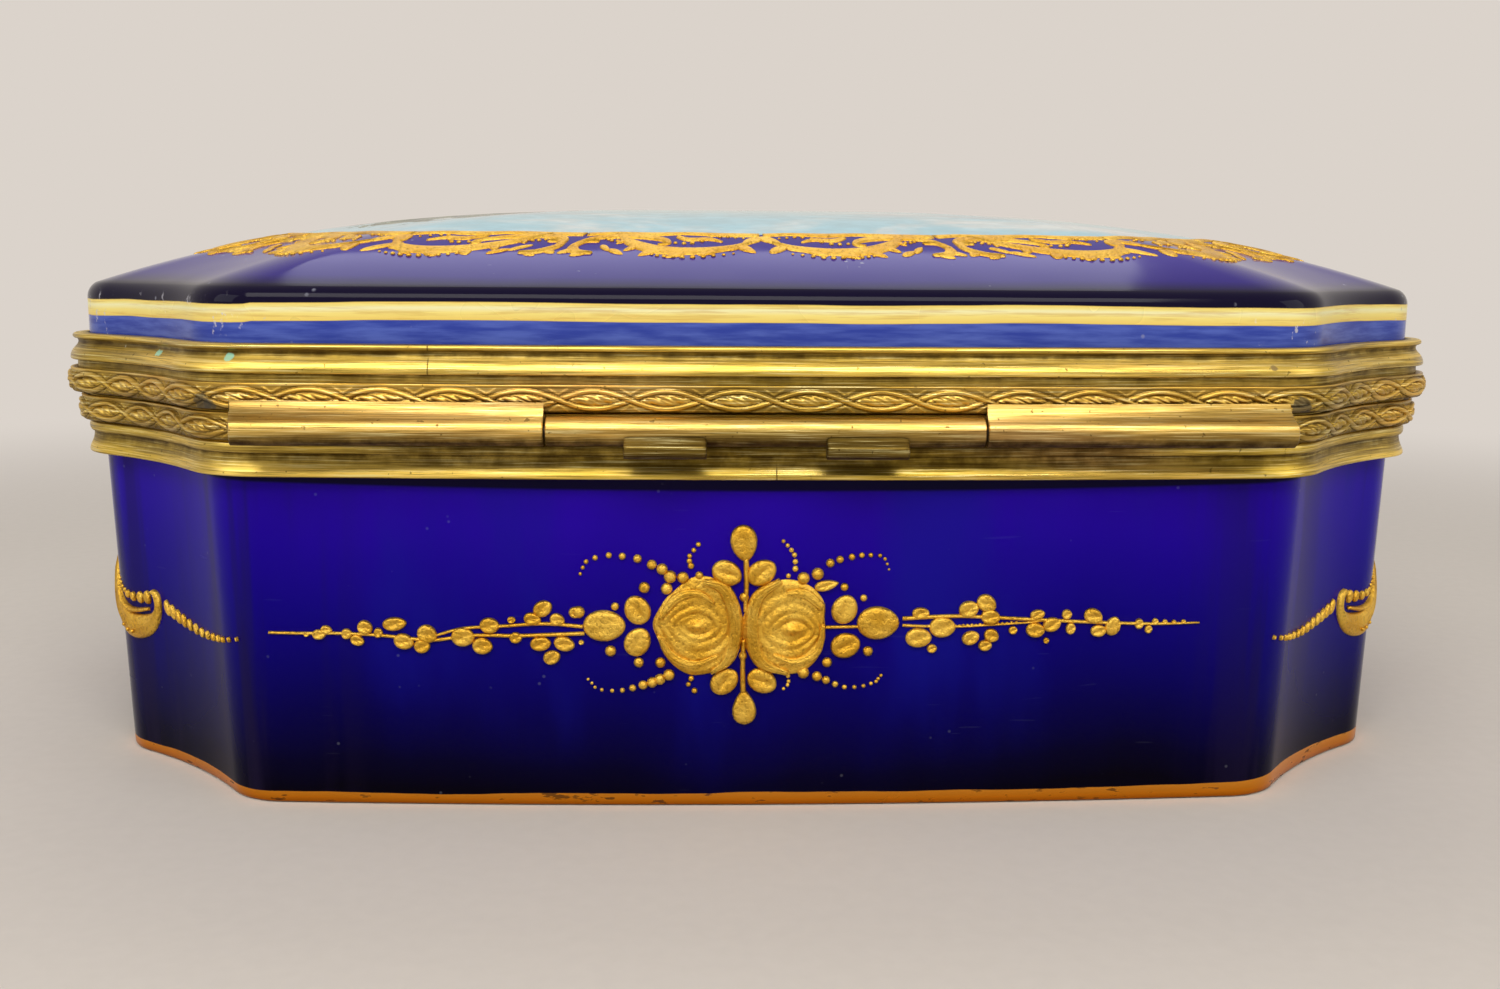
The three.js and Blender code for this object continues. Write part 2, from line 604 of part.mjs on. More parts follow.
// Thumb-piece: a shaped plate on the lid's strip whose open-ended slot drops over the stud's neck.
function thumbPiece() {
  const slot = NECK_RADIUS + FORK_PLAY;
  const wide = THUMBPIECE_HALF_WIDTH;
  const top = LID_Z + THUMBPIECE_ABOVE_JOINT;
  const bottom = STUD_Z - TINE_BELOW_STUD;
  const shoulder = STUD_Z + THUMBPIECE_SHOULDER;
  const tine = slot + TINE_WIDTH;
  // Edge of one half, from the tip of a tine to the top: the end of each curve and the point that bends it
  const edge = [
    { end: [slot, bottom] },
    { end: [tine, bottom + TINE_ROUND], bend: [tine, bottom] },
    { end: [wide, shoulder], bend: [tine, shoulder] },
    { end: [wide - THUMBPIECE_CORNER, top - THUMBPIECE_CORNER], bend: [wide, top - THUMBPIECE_CORNER] },
    { end: [0, top], bend: [THUMBPIECE_CREST, top - THUMBPIECE_CORNER] },
  ];
  const plate = new THREE.Shape();
  plate.moveTo(-slot, bottom);
  plate.lineTo(-slot, STUD_Z);
  plate.absarc(0, STUD_Z, slot, Math.PI, 0, true);
  plate.lineTo(slot, bottom);
  for (const { end, bend } of edge.slice(1)) plate.quadraticCurveTo(...bend, ...end);
  for (let i = edge.length - 1; i > 0; i--) {
    const [bendX, bendZ] = edge[i].bend;
    const [endX, endZ] = edge[i - 1].end;
    plate.quadraticCurveTo(-bendX, bendZ, -endX, endZ);
  }
  const flat = new THREE.ExtrudeGeometry(plate, {
    depth: THUMBPIECE_THICKNESS,
    bevelEnabled: false,
    curveSegments: 4,
  });
  const lipZ = STUD_Z + PULL_LIP_ABOVE_STUD;
  const lip = new THREE.Shape();
  lip.moveTo(0, lipZ);
  lip.quadraticCurveTo(PULL_LIP_OUT, lipZ, PULL_LIP_OUT, lipZ + PULL_LIP_HEIGHT);
  lip.quadraticCurveTo(PULL_LIP_OUT / 3, lipZ + PULL_LIP_HEIGHT, 0, lipZ + 2 * PULL_LIP_HEIGHT);
  lip.closePath();
  const pull = new THREE.ExtrudeGeometry(lip, { depth: PULL_LIP_WIDTH, bevelEnabled: false, curveSegments: 3 });
  pull.rotateY(-Math.PI / 2).translate(PULL_LIP_WIDTH / 2, 0, THUMBPIECE_THICKNESS / 2);
  const joined = geometryOf(solid(flat).add(solid(pull)));
  return joined.rotateX(Math.PI / 2).translate(0, CLASP_Y - FORK_OUT, 0);
}

// Assembly. The lid group is at rest, shut.
const base = new THREE.Group();
const baseInside = bowlOffset(BOWL_RIM_Z) - BOWL_WALL;
const bedBottom = BASE_MOUNT_BOTTOM + LIP_HEIGHT + CEMENTED;
base.add(
  piece("base_bowl", baseBowl(), cobaltGlaze),
  piece("base_cement_bed", cementBed(bowlOffset, BASE_INNER_OFFSET, bedBottom, BOWL_RIM_Z - EDGE_ROUND), cement),
  piece("base_mount_moulding", baseMoulding(), gilding),
  piece("base_rim_collar", rimCollar(baseInside, BASE_INNER_OFFSET, JOINT_Z, -1), wornBrass),
  piece("base_guilloche_strip", baseStrip(), gilding),
  piece("hinge_knuckle_centre", centreKnuckle(), gilding),
  piece("stop_lug_left", stopLug(LUG_FROM, LUG_TO), wornBrass),
  piece("stop_lug_right", stopLug(-LUG_TO, -LUG_FROM), wornBrass),
  piece("hinge_pin", hingePin(), steel),
  piece("clasp_stud", claspStud(), gilding),
);

const lid = new THREE.Group();
const lidInside = LID_WALL_OFFSET - LID_WALL_THICKNESS;
const bedBase = LID_RIM_Z + EDGE_ROUND;
const bedTop = LID_MOUNT_TOP - LIP_HEIGHT - CEMENTED;
lid.add(
  piece("lid_dome", lidDome(), cobaltGlaze),
  piece("lid_cement_bed", cementBed(() => LID_WALL_OFFSET, LID_INNER_OFFSET, bedBase, bedTop), cement),
  piece("lid_mount_moulding", lidMoulding(), gilding),
  piece("lid_rim_collar", rimCollar(lidInside, LID_INNER_OFFSET, LID_Z, 1), wornBrass),
  piece("lid_guilloche_strip", lidStrip(), gilding),
  piece("hinge_knuckle_left", lidKnuckle(CENTRE_KNUCKLE_HALF, BARREL_HALF_LENGTH), gilding),
  piece("hinge_knuckle_right", lidKnuckle(-BARREL_HALF_LENGTH, -CENTRE_KNUCKLE_HALF), gilding),
  piece("clasp_thumbpiece", thumbPiece(), gilding),
);

// The origin is at the middle of the overall depth, so the hinge and the clasp are counted in.
const casket = new THREE.Group();
const backmost = HINGE_Y + LUG_REACH;
const frontmost = HALF_DEPTH + BALL_OUT + BALL_RADIUS;
casket.position.y = (frontmost - backmost) / 2;
casket.add(base, lid);

export default casket;
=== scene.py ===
# %% [markdown]
# # A porcelain jewelry box, seen from its hinge side
# The real box is a cobalt-glazed porcelain bowl with a domed lid. Each is cemented into a gilt brass
# mount, and a three-knuckle hinge joins the mounts along the back. This lesson rebuilds how it looks.
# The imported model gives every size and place, so the first step is to load it and keep its outer box.

import math
import random

import bmesh
import bpy
import numpy as np
from mathutils import Matrix, Vector


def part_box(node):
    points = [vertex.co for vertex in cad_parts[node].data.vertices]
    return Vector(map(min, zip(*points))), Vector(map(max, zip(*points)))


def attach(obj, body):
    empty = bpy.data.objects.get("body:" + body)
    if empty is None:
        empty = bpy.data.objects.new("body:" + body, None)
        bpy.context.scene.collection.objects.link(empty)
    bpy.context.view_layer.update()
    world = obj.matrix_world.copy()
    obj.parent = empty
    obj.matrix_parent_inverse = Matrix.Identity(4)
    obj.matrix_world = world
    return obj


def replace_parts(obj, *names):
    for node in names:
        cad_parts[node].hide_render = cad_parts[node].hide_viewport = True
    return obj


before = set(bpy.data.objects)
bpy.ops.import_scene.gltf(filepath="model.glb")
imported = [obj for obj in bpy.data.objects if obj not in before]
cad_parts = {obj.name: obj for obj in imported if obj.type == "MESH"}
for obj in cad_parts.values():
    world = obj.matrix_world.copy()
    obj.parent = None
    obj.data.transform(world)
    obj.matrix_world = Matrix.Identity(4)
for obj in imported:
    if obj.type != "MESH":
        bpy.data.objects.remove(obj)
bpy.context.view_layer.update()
MM = 0.001

# %% [markdown]
# ## Camera
# The photograph was taken about 25 cm behind the box with a wide phone lens, looking a little down.
# The place and the turns below come from fitting the edges of the mounts. A short distance matters
# more than the lens: it makes the far corners rise and shrink as they do in the picture.

# %% Set the camera at the photograph's angle
CAMERA_PLACE = Vector((11.4, 354.1, 100.5)) * MM
CAMERA_YAW = -0.0337
CAMERA_DOWN = 0.1544
CAMERA_ROLL = 0.0067
PHOTO_WIDTH = 1500
FOCAL_PIXELS = 1457

camera_data = bpy.data.cameras.new("camera")
camera_data.lens = FOCAL_PIXELS / PHOTO_WIDTH * camera_data.sensor_width
camera_data.clip_start = 0.01
camera = bpy.data.objects.new("camera", camera_data)
bpy.context.scene.collection.objects.link(camera)
turned = Matrix.Rotation(math.pi + CAMERA_YAW, 4, "Z") @ Matrix.Rotation(math.pi / 2 - CAMERA_DOWN, 4, "X")
camera.matrix_world = Matrix.Translation(CAMERA_PLACE) @ turned @ Matrix.Rotation(CAMERA_ROLL, 4, "Z")
bpy.context.scene.camera = camera
print("lens", round(camera_data.lens, 2), "mm")

# %% [markdown]
# ## Node helpers
# Every finish below is a node tree. A Field stands for a value that flows between nodes, so that plain
# arithmetic on fields adds the math nodes, and a Finish adds noise, mixes of colour and bump.

# %% Helpers for finishes
def srgb(red, green, blue):
    """A colour given as it looks on a screen, 0 to 255, as the linear values that shaders use."""
    linear = [(v / 255 / 12.92) if v < 11 else ((v / 255 + 0.055) / 1.055) ** 2.4 for v in (red, green, blue)]
    return (*linear, 1)


def arithmetic(operation, swapped=False):
    """A method that joins a field and another value in one math node."""

    def run(self, other):
        first, second = (other, self) if swapped else (self, other)
        return self.finish.math(operation, first, second)

    return run


class Field:
    """A value that flows from one node to the next."""

    __add__ = arithmetic("ADD")
    __sub__ = arithmetic("SUBTRACT")
    __rsub__ = arithmetic("SUBTRACT", swapped=True)
    __mul__ = arithmetic("MULTIPLY")
    __truediv__ = arithmetic("DIVIDE")
    top = arithmetic("MAXIMUM")

    def __init__(self, finish, socket):
        self.finish, self.socket = finish, socket

    def map_range(self, kind, limits):
        node = self.finish.add("MapRange", {"interpolation_type": kind}, Value=self)
        for socket, number in zip(node.inputs[1:5], limits):
            socket.default_value = number
        return Field(self.finish, node.outputs[0])

    def step(self, low, high, out_low=0.0, out_high=1.0):
        """out_low up to low, out_high from high on and a soft step between, either way round."""
        return self.map_range("SMOOTHSTEP", (low, high, out_low, out_high))

    def ramp(self, *stops):
        """A colour that runs smoothly through stops given as (value, colour), from low to high."""
        low, high = stops[0][0], stops[-1][0]
        node = self.finish.add("ValToRGB", Fac=self.map_range("LINEAR", (low, high)))
        bar = node.color_ramp.elements
        bar[1].color = stops[-1][1]
        bar[0].color = stops[0][1]
        for level, colour in stops[1:-1]:
            bar.new((level - low) / (high - low)).color = colour
        return Field(self.finish, node.outputs[0])


class Finish:
    """One material and its node tree."""

    def __init__(self, name, roughness=0.5, metallic=0.0, specular=0.5):
        self.material = bpy.data.materials.new(name)
        self.material.use_nodes = True
        self.tree = self.material.node_tree
        self.shader = self.tree.nodes["Principled BSDF"]
        self.wire(Roughness=roughness, Metallic=metallic, Specular_IOR_Level=specular)
        self.place = self.field("TexCoord", output="Object")

    def put(self, value, socket):
        if isinstance(value, Field):
            self.tree.links.new(value.socket, socket)
        else:
            socket.default_value = value

    def add(self, kind, settings=None, **inputs):
        node = self.tree.nodes.new("ShaderNode" + kind)
        for key, value in (settings or {}).items():
            setattr(node, key, value)
        for key, value in inputs.items():
            self.put(value, node.inputs[key.replace("_", " ")])
        return node

    def field(self, kind, settings=None, output=0, **inputs):
        return Field(self, self.add(kind, settings, **inputs).outputs[output])

    def math(self, operation, first, second=0.0, third=0.0, clamp=False):
        node = self.add("Math", {"operation": operation, "use_clamp": clamp})
        for socket, value in zip(node.inputs, (first, second, third)):
            self.put(value, socket)
        return Field(self, node.outputs[0])

    def mix(self, share, first, second):
        node = self.add("Mix", {"data_type": "RGBA"})
        for i, value in ((0, share), (6, first), (7, second)):
            self.put(value, node.inputs[i])
        return Field(self, node.outputs[2])

    def mapped(self, scale, of=None, turn=0.0):
        return self.field("Mapping", Vector=of or self.place, Scale=scale, Rotation=(0, 0, turn))

    def cloud(self, scale, detail=2.0, roughness=0.5, distortion=0.0, of=None, turn=0.0):
        """Soft noise over the object. Three scales draw it out along the axes."""
        vector = of or self.place
        if isinstance(scale, tuple):
            vector, scale = self.mapped(scale, vector, turn), 1.0
        node = self.add("TexNoise", Vector=vector, Scale=scale, Detail=detail, Roughness=roughness)
        node.inputs["Distortion"].default_value = distortion
        return Field(self, node.outputs[0])

    def away(self, centre, of=None):
        """How far the place lies from a centre."""
        node = self.add("VectorMath", {"operation": "DISTANCE"})
        self.put(of or self.place, node.inputs[0])
        self.put(centre, node.inputs[1])
        return Field(self, node.outputs["Value"])

    def axes(self, vector=None):
        return [Field(self, out) for out in self.add("SeparateXYZ", Vector=vector or self.place).outputs]

    def brushed(self):
        """Place along the box with the length up the section, so that streaks never meet in a seam."""
        x, y, _ = self.axes()
        return self.field("CombineXYZ", X=x, Y=y, Z=self.axes(self.field("UVMap"))[1])

    def attribute(self, name):
        return self.field("Attribute", {"attribute_name": name}, "Fac")

    def bump(self, height, depth, strength=1.0):
        self.wire(Normal=self.field("Bump", Height=height, Distance=depth, Strength=strength))

    def wire(self, **outputs):
        for key, value in outputs.items():
            self.put(value, self.shader.inputs[key.replace("_", " ")])
        return self.material


print("helpers ready")

# %% [markdown]
# ## The cobalt glaze
# The bowl's blue is painted shade that falls from a violet blue near its rim to nearly black at the foot, and it is
# cloudy in between. Fine scratches and dust break the mirror-like gloss.
# The clouds come from soft noise, and the scratches from noise drawn out to hair-thin lines.

# %% Mix the glaze of the bowl
GLAZE_CLOUD = srgb(16, 20, 142)
SMOKE = srgb(30, 22, 52)
PALE_WEAR = srgb(176, 178, 196)
BASE_MOUNT_BOTTOM = 62.8 * MM
SHADE_DROP = 2.5 * MM  # painted shadow under the mount's edge, deepest in the middle of a side


def scratches(finish, scale, turn, share, of=None):
    """Hair lines across a glaze: 1 on a line and 0 beside it."""
    return finish.cloud(scale, 1.0, of=of, turn=turn).step(1 - share, 1 - share + 0.02)


def specks(finish, scale, size):
    """Scattered dots of dust or wear: 1 on a dot and 0 beside it."""
    dots = finish.field("TexVoronoi", output="Distance", Vector=finish.place, Scale=scale)
    return dots.step(size, size * 0.4) * finish.cloud(scale / 3, 1.0).step(0.6, 0.66)


def bowl_blue(finish):
    """Painted shade, nearly black at the foot and a violet blue near the rim, with clouds of a purer blue."""
    drift = (finish.cloud((16, 16, 7), 3.0) - 0.5) * 0.03
    level = (finish.axes()[2] + drift) / MM
    shaded_blue = level.ramp(
        (0, srgb(3, 0, 14)),
        (6, srgb(3, 0, 38)),
        (15, srgb(5, 0, 74)),
        (25, srgb(8, 0, 104)),
        (36, srgb(15, 0, 128)),
        (47, srgb(26, 0, 146)),
        (62, srgb(40, 2, 168)),
    )
    clouds = finish.cloud((30, 30, 9), 4.0, 0.6).step(0.5, 0.72, 0, 0.5)
    blue = finish.mix(clouds * level.step(2, 30), shaded_blue, GLAZE_CLOUD)
    # Smoky grey upright streaks over the bends
    smoke = finish.cloud((150, 150, 7), 3.0).step(0.45, 0.62) * finish.attribute("bend")
    return finish.mix(smoke * 0.6, blue, SMOKE)


def bowl_glaze():
    finish = Finish("cobalt_glaze", specular=0.05)
    x, _, z = finish.axes()
    # Painted shadow of the mount: a dark band on the glaze just under its lower edge
    aside = finish.math("POWER", x / 0.09, 2.0)
    shade_end = aside * 0.0011 + (BASE_MOUNT_BOTTOM - SHADE_DROP)
    blue = finish.mix((z - shade_end).step(-0.0003, 0.0004) * 0.92, bowl_blue(finish), srgb(10, 7, 18))
    marks = scratches(finish, (60, 60, 900), 0.12, 0.24).top(scratches(finish, (80, 80, 1100), -0.35, 0.22))
    blue = finish.mix(marks * 0.015, blue, PALE_WEAR)
    blue = finish.mix(specks(finish, 330, 0.13) * 0.1, blue, PALE_WEAR)
    # The painter's gold line round the foot is uneven, and thicker towards the right of the photograph
    wobble, wander = finish.cloud((42, 42, 0.01)), finish.cloud((9, 9, 0.01), 1.0)
    edge = wobble * 0.0014 + wander * 0.0014 - x * 0.004 + 0.001
    bare = finish.cloud((260, 260, 900), 3.0).step(0.62, 0.7, 1, 0.25)
    gold = (edge - z).step(-0.00006, 0.00006) * bare
    # Painted shade: the foot line is a dim orange-brown that darkens towards its lower edge
    shaded_foot_gold = z.ramp((0, srgb(150, 80, 10)), (0.0012, srgb(214, 130, 26)), (0.003, srgb(232, 152, 50)))
    polish = finish.cloud((50, 50, 25), 3.0).step(0.35, 0.75, 0.05, 0.17) + marks * 0.16
    finish.bump(finish.cloud((26, 26, 16)), 0.0006, 0.5)
    return finish.wire(
        Base_Color=finish.mix(gold, blue, shaded_foot_gold), Metallic=gold * 0.9, Roughness=polish + gold * 0.22
    )


COBALT = bowl_glaze()
print("mixed", COBALT.name)

# %% [markdown]
# The lid wears two painted bands on its upright wall: a lighter royal blue against the mount, and gold
# above it. Hands and polishing have worn both through at the rounded bends, down to pale porcelain.
# The bands follow the height, and the wear follows an attribute, "bend", that the mesh carries.

# %% Mix the glaze of the lid
LID_MOUNT_TOP = 86.8 * MM
BLUE_BAND_TOP = LID_MOUNT_TOP + 4.1 * MM
GOLD_BAND_TOP = LID_MOUNT_TOP + 7.3 * MM
BAND_SOFTNESS = 0.08 * MM


def lid_blue(finish):
    """Painted shade, nearly black over the rounded shoulder, and violet where the dome climbs away from it."""
    drift = finish.cloud((14, 14, 30), 3.0)
    level = (finish.axes()[2] + drift * 0.0016) / MM
    return level.ramp(
        (93, srgb(12, 5, 34)),
        (97.6, srgb(12, 4, 40)),
        (99.4, srgb(36, 18, 120)),
        (104, srgb(44, 24, 144)),
        (110, srgb(34, 18, 128)),
    )


def lid_glaze():
    finish = Finish("lid_glaze", specular=0.12)
    z = finish.axes()[2]
    bend = finish.attribute("bend")
    sag = (finish.cloud((24, 24, 0.01)) - 0.5) * 0.0012 - bend * 0.0006
    level = z - sag
    royal, gold = [level.step(top + BAND_SOFTNESS, top - BAND_SOFTNESS) for top in (BLUE_BAND_TOP, GOLD_BAND_TOP)]
    gold = gold * (1.0 - royal)
    streak = finish.cloud((110, 110, 900), 4.0)
    royal_tone = finish.mix(streak.step(0.3, 0.7), srgb(52, 70, 168), srgb(84, 104, 194))
    colour = finish.mix(royal, lid_blue(finish), royal_tone)
    # The gold was brushed on: pale, with a painted highlight along its upper third and fine flat streaks
    gold_with_highlight = (level / MM).ramp(
        (90.9, srgb(248, 216, 112)),
        (92.2, srgb(255, 236, 140)),
        (93.1, srgb(255, 250, 196)),
        (93.5, srgb(255, 240, 150)),
        (94.1, srgb(248, 216, 110)),
    )
    thin = finish.cloud((60, 60, 1600), 4.0, 0.6).step(0.35, 0.5, 0.35, 0)
    colour = finish.mix(gold, colour, finish.mix(thin, gold_with_highlight, srgb(206, 150, 60)))
    # Wear: rubbed patches at the bends, and a few chips anywhere along the bands
    rubbed = finish.cloud((420, 420, 260), 5.0, 0.7) + bend * 0.13
    worn = rubbed.step(0.70, 0.78) * z.step(GOLD_BAND_TOP + 0.002, GOLD_BAND_TOP - 0.0005)
    hair = scratches(finish, (700, 60, 1), 0.5, 0.23, finish.mapped((1, 1, 0.4)))
    marks = (hair * 0.12).top(specks(finish, 300, 0.15) * 0.5)
    colour = finish.mix(marks, colour, PALE_WEAR)
    colour = finish.mix(worn * 0.8, colour, srgb(206, 204, 214))
    bright = gold * (1.0 - worn)
    polish = finish.cloud((40, 40, 40), 3.0).step(0.35, 0.75, 0.05, 0.15) + worn * 0.3
    finish.bump(finish.cloud((24, 24, 24)), 0.0008, 0.5)
    return finish.wire(Base_Color=colour, Metallic=bright * 0.12, Roughness=polish + bright * 0.2)


LID_COBALT = lid_glaze()
print("mixed", LID_COBALT.name, "with bands up to", round(GOLD_BAND_TOP / MM, 1), "mm")

# %% [markdown]
# Inside, such boxes are glazed plain white, and the ring that the bowl stands on is left unglazed.
# Neither shows in the photograph, so both stay quiet: a warm white with faint pinholes and grey.

# %% Mix the white inside and the bare foot
def white_glaze():
    finish = Finish("white_glaze", specular=0.5)
    cloud = finish.cloud((30, 30, 30), 4.0)
    white = finish.mix(cloud, srgb(226, 223, 212), srgb(238, 236, 228))
    white = finish.mix(specks(finish, 260, 0.12) * 0.35, white, srgb(150, 140, 120))
    finish.bump(finish.cloud((40, 40, 40)), 0.0005, 0.4)
    return finish.wire(Base_Color=white, Roughness=cloud.step(0.3, 0.7, 0.08, 0.16))


def grainy(name, grain_scale, detail, depth, strength, dark, light, **look):
    """A plain finish of two tones, mixed and roughened by one fine grain."""
    finish = Finish(name, **look)
    grain = finish.cloud(grain_scale, detail)
    finish.bump(grain, depth, strength)
    finish.wire(Base_Color=finish.mix(grain, srgb(*dark), srgb(*light)))
    return finish, grain


WHITE = white_glaze()
BARE = grainy(
    "bare_porcelain", (900, 900, 900), 4.0, 0.0001, 0.6, (196, 188, 170), (222, 216, 202), roughness=0.75
)[0].material
print("mixed", WHITE.name, "and", BARE.name)

# %% [markdown]
# ## Gilt brass
# The mounts are rolled brass with a worn, brushed gilding: streaks run along the strip, grooves hold brown dirt and
# painted shade, and green-yellow and pinkish patches drift over it. The streaks are noise drawn out along x and y, and
# fine in the length up the section, which the mesh's UV gives in metres. The dirt and painted shade follow a "hollow"
# attribute.

# %% Mix the brasses
GILT = srgb(252, 216, 104)
GILT_GREEN = srgb(226, 192, 76)
GILT_PINK = srgb(236, 184, 116)
DIRT_AND_SHADE = srgb(54, 33, 3)
LEAD_GREY = srgb(74, 68, 56)
VERDIGRIS = srgb(158, 222, 198)


def brass_spot(finish, ragged_by, centre, radius):
    """1 on a ragged spot round a place given in mm, and 0 off it."""
    near = ragged_by * (radius * MM * 2.0) - finish.away([v * MM for v in centre])
    return near.step(-radius * MM * 0.15, radius * MM * 0.15)


def solder_seam(finish, seam_x, low, high):
    """1 along a thin upright line at the back, from low to high in mm, where the strip's ends meet."""
    x, y, z = finish.axes()
    off = finish.math("ABSOLUTE", x - seam_x * MM)
    line = off.step(0.0002, 0.00008) * y.step(0, 0.01)
    return line * z.step(low * MM, (low + 0.2) * MM) * z.step(high * MM, (high - 0.2) * MM)


def brass(name, base, patch, patch_two, dirt_and_shade_share, shine, streak_depth, spots=(), seams=()):
    finish = Finish(name, metallic=1.0, specular=0.2)
    brushed = finish.brushed()
    fine = finish.cloud((70, 70, 4200), 5.0, 0.65, of=brushed)
    broad = finish.cloud((26, 26, 900), 3.0, of=brushed)
    tone = finish.mix(finish.cloud((18, 18, 40), 3.0).step(0.42, 0.66), base, patch)
    tone = finish.mix(finish.cloud((11, 11, 60)).step(0.56, 0.74, 0, 0.7), tone, patch_two)
    tone = finish.mix(broad.step(0.38, 0.56, 0.4, 0), tone, DIRT_AND_SHADE)
    tone = finish.mix(fine.step(0.36, 0.5, 0.55, 0), tone, DIRT_AND_SHADE)
    # Pale brushing streaks, painted bright enough to stand as highlights
    tone = finish.mix(fine.step(0.52, 0.66, 0, 0.55), tone, srgb(255, 246, 182))
    grime = finish.cloud((260, 260, 260), 4.0, 0.6)
    # Brown dirt and painted shade in the hollows
    held_dirt_and_shade = finish.attribute("hollow") * grime.step(0.25, 0.7, 0.65, 1.0)
    held_dirt_and_shade = finish.math("SUBTRACT", held_dirt_and_shade, fine.step(0.5, 0.75, 0, 0.25), clamp=True)
    dirt_and_shade = (held_dirt_and_shade * dirt_and_shade_share).top(finish.cloud((900, 900, 900)).step(0.68, 0.74, 0, 0.6))
    for seam in seams:
        dirt_and_shade = dirt_and_shade.top(solder_seam(finish, *seam) * 0.7)
    tone = finish.mix(dirt_and_shade, tone, DIRT_AND_SHADE)
    metal = 1.0 - dirt_and_shade * 0.1
    rough = broad.step(0.3, 0.7) * 0.14 + shine
    rough = finish.math("ADD", rough, dirt_and_shade * 0.25, clamp=True)
    for centre, radius, colour in spots:
        spot = brass_spot(finish, grime, centre, radius) * 0.75
        tone = finish.mix(spot, tone, colour)
        metal = finish.math("SUBTRACT", metal, spot, clamp=True)
        rough = rough.top(spot * 0.7)
    finish.bump(fine, streak_depth * MM, 0.7)
    return finish.wire(Base_Color=tone, Metallic=metal, Roughness=rough)


# Spots are (place in mm, radius in mm, colour), and seams (x, low, high) in mm
MOUNT_SPOTS = [
    ((112.7, 78.7, 84.2), 0.8, VERDIGRIS),
    ((111.9, 79.5, 84.2), 0.7, VERDIGRIS),
    ((94.8, 93.9, 84.4), 0.75, VERDIGRIS),
    # A pale spot here is a painted highlight on the lid mount's corner
    ((122.6, 69.1, 85.0), 0.6, srgb(226, 232, 214)),
    ((-91.5, 95.3, 83.4), 0.8, srgb(120, 100, 70)),
]
STRIP_CHIPS = [
    ((99.8, 93.4, 76.0), 1.6, LEAD_GREY),
    ((98.4, 94.0, 75.6), 1.2, LEAD_GREY),
    ((-96.9, 94.6, 75.9), 2.0, LEAD_GREY),
]
MOUNT_SEAMS = [(59.4, 80.0, 86.8), (-2.1, 62.8, 67.0)]
GILT_BRASS = brass("gilt_brass", GILT, GILT_GREEN, GILT_PINK, 0.95, 0.26, 0.05, MOUNT_SPOTS, MOUNT_SEAMS)
STAMPED_BRASS, HINGE_BRASS, LUG_BRASS, PLAIN_BRASS = [
    brass(name, *[srgb(*tone) for tone in tones], *rest)
    for name, tones, *rest in (
        ("stamped_brass", ((230, 186, 84), (206, 172, 76), (236, 184, 116)), 0.95, 0.3, 0.02, STRIP_CHIPS),
        ("hinge_brass", ((232, 190, 100), (208, 176, 92), (214, 168, 112)), 0.97, 0.3, 0.04),
        ("filed_brass", ((158, 130, 60), (128, 108, 48), (140, 112, 70)), 0.95, 0.38, 0.06),
        ("plain_brass", ((200, 164, 92), (176, 150, 90), (186, 150, 104)), 0.5, 0.36, 0.03),
    )
]
print("mixed five brasses")


# %% Mix the raised gold, the cement and the pin
def paste_gold():
    """Raised paste that was modelled by brush, fired and gilded: satin, with brush grain."""
    finish = Finish("raised_gold", metallic=0.95)
    grain = finish.cloud((1500, 1500, 1500), 4.0, 0.6)
    patch = finish.cloud((160, 160, 160), 3.0)
    tone = finish.mix(patch.step(0.35, 0.7), srgb(218, 166, 50), srgb(240, 198, 84))
    tone = finish.mix(grain.step(0.3, 0.5, 0.5, 0), tone, srgb(120, 76, 14))
    finish.bump(grain, 0.0003, 1.0)
    return finish.wire(Base_Color=tone, Roughness=patch.step(0.3, 0.7, 0.34, 0.48))


def pin_steel():
    finish, grain = grainy(
        "pin_steel", (60, 2400, 2400), 4.0, 0.00005, 0.5, (70, 66, 62), (112, 106, 98), metallic=1.0
    )
    return finish.wire(Roughness=grain.step(0.3, 0.7, 0.35, 0.6))


RAISED_GOLD = paste_gold()
CEMENT = grainy(
    "bedding_cement", (700, 700, 700), 5.0, 0.0002, 0.7, (176, 166, 142), (214, 206, 186), roughness=0.9
)[0].material
STEEL = pin_steel()
print("mixed", RAISED_GOLD.name, CEMENT.name, STEEL.name)

# %% [markdown]
# ## The plan
# Seen from above the box is a rectangle with bowed long sides and canted corners: a long side, a bend,
# a shallow hollow, another bend and a short side. Every wall, moulding and strip runs parallel to that
# line, so it is drawn once, in fine steps, with the direction that faces outwards at each point.

# %% Draw the plan
HALF_LENGTH = 136 * MM
HALF_DEPTH = 93 * MM
LONG_SIDE_BOW = 3 * MM
LONG_SIDE_RUN = 91.2 * MM
BEND_RADIUS = 17 * MM
SCOOP_RADIUS = 100 * MM
BOW_STEPS, BEND_STEPS, SCOOP_STEPS, END_STEPS = 44, 12, 20, 22
BOWL_LOW, BOWL_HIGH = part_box("base_bowl")
MIDDLE = np.array([(BOWL_LOW.x + BOWL_HIGH.x) / 2, (BOWL_LOW.y + BOWL_HIGH.y) / 2])


def arc(centre, radius, start, end, steps, facing):
    """Rows of x, y and facing direction along an arc, without its first point."""
    angles = start + (end - start) * np.arange(1, steps + 1) / steps
    out = np.column_stack([np.cos(angles), np.sin(angles)])
    return np.hstack([np.asarray(centre) + radius * out, facing * out])


def long_side():
    radius = (LONG_SIDE_RUN**2 + LONG_SIDE_BOW**2) / (2 * LONG_SIDE_BOW)
    x = LONG_SIDE_RUN * np.arange(BOW_STEPS + 1) / BOW_STEPS
    rise = np.sqrt(radius**2 - x**2)
    return np.column_stack([x, HALF_DEPTH - radius + rise, x / radius, rise / radius])


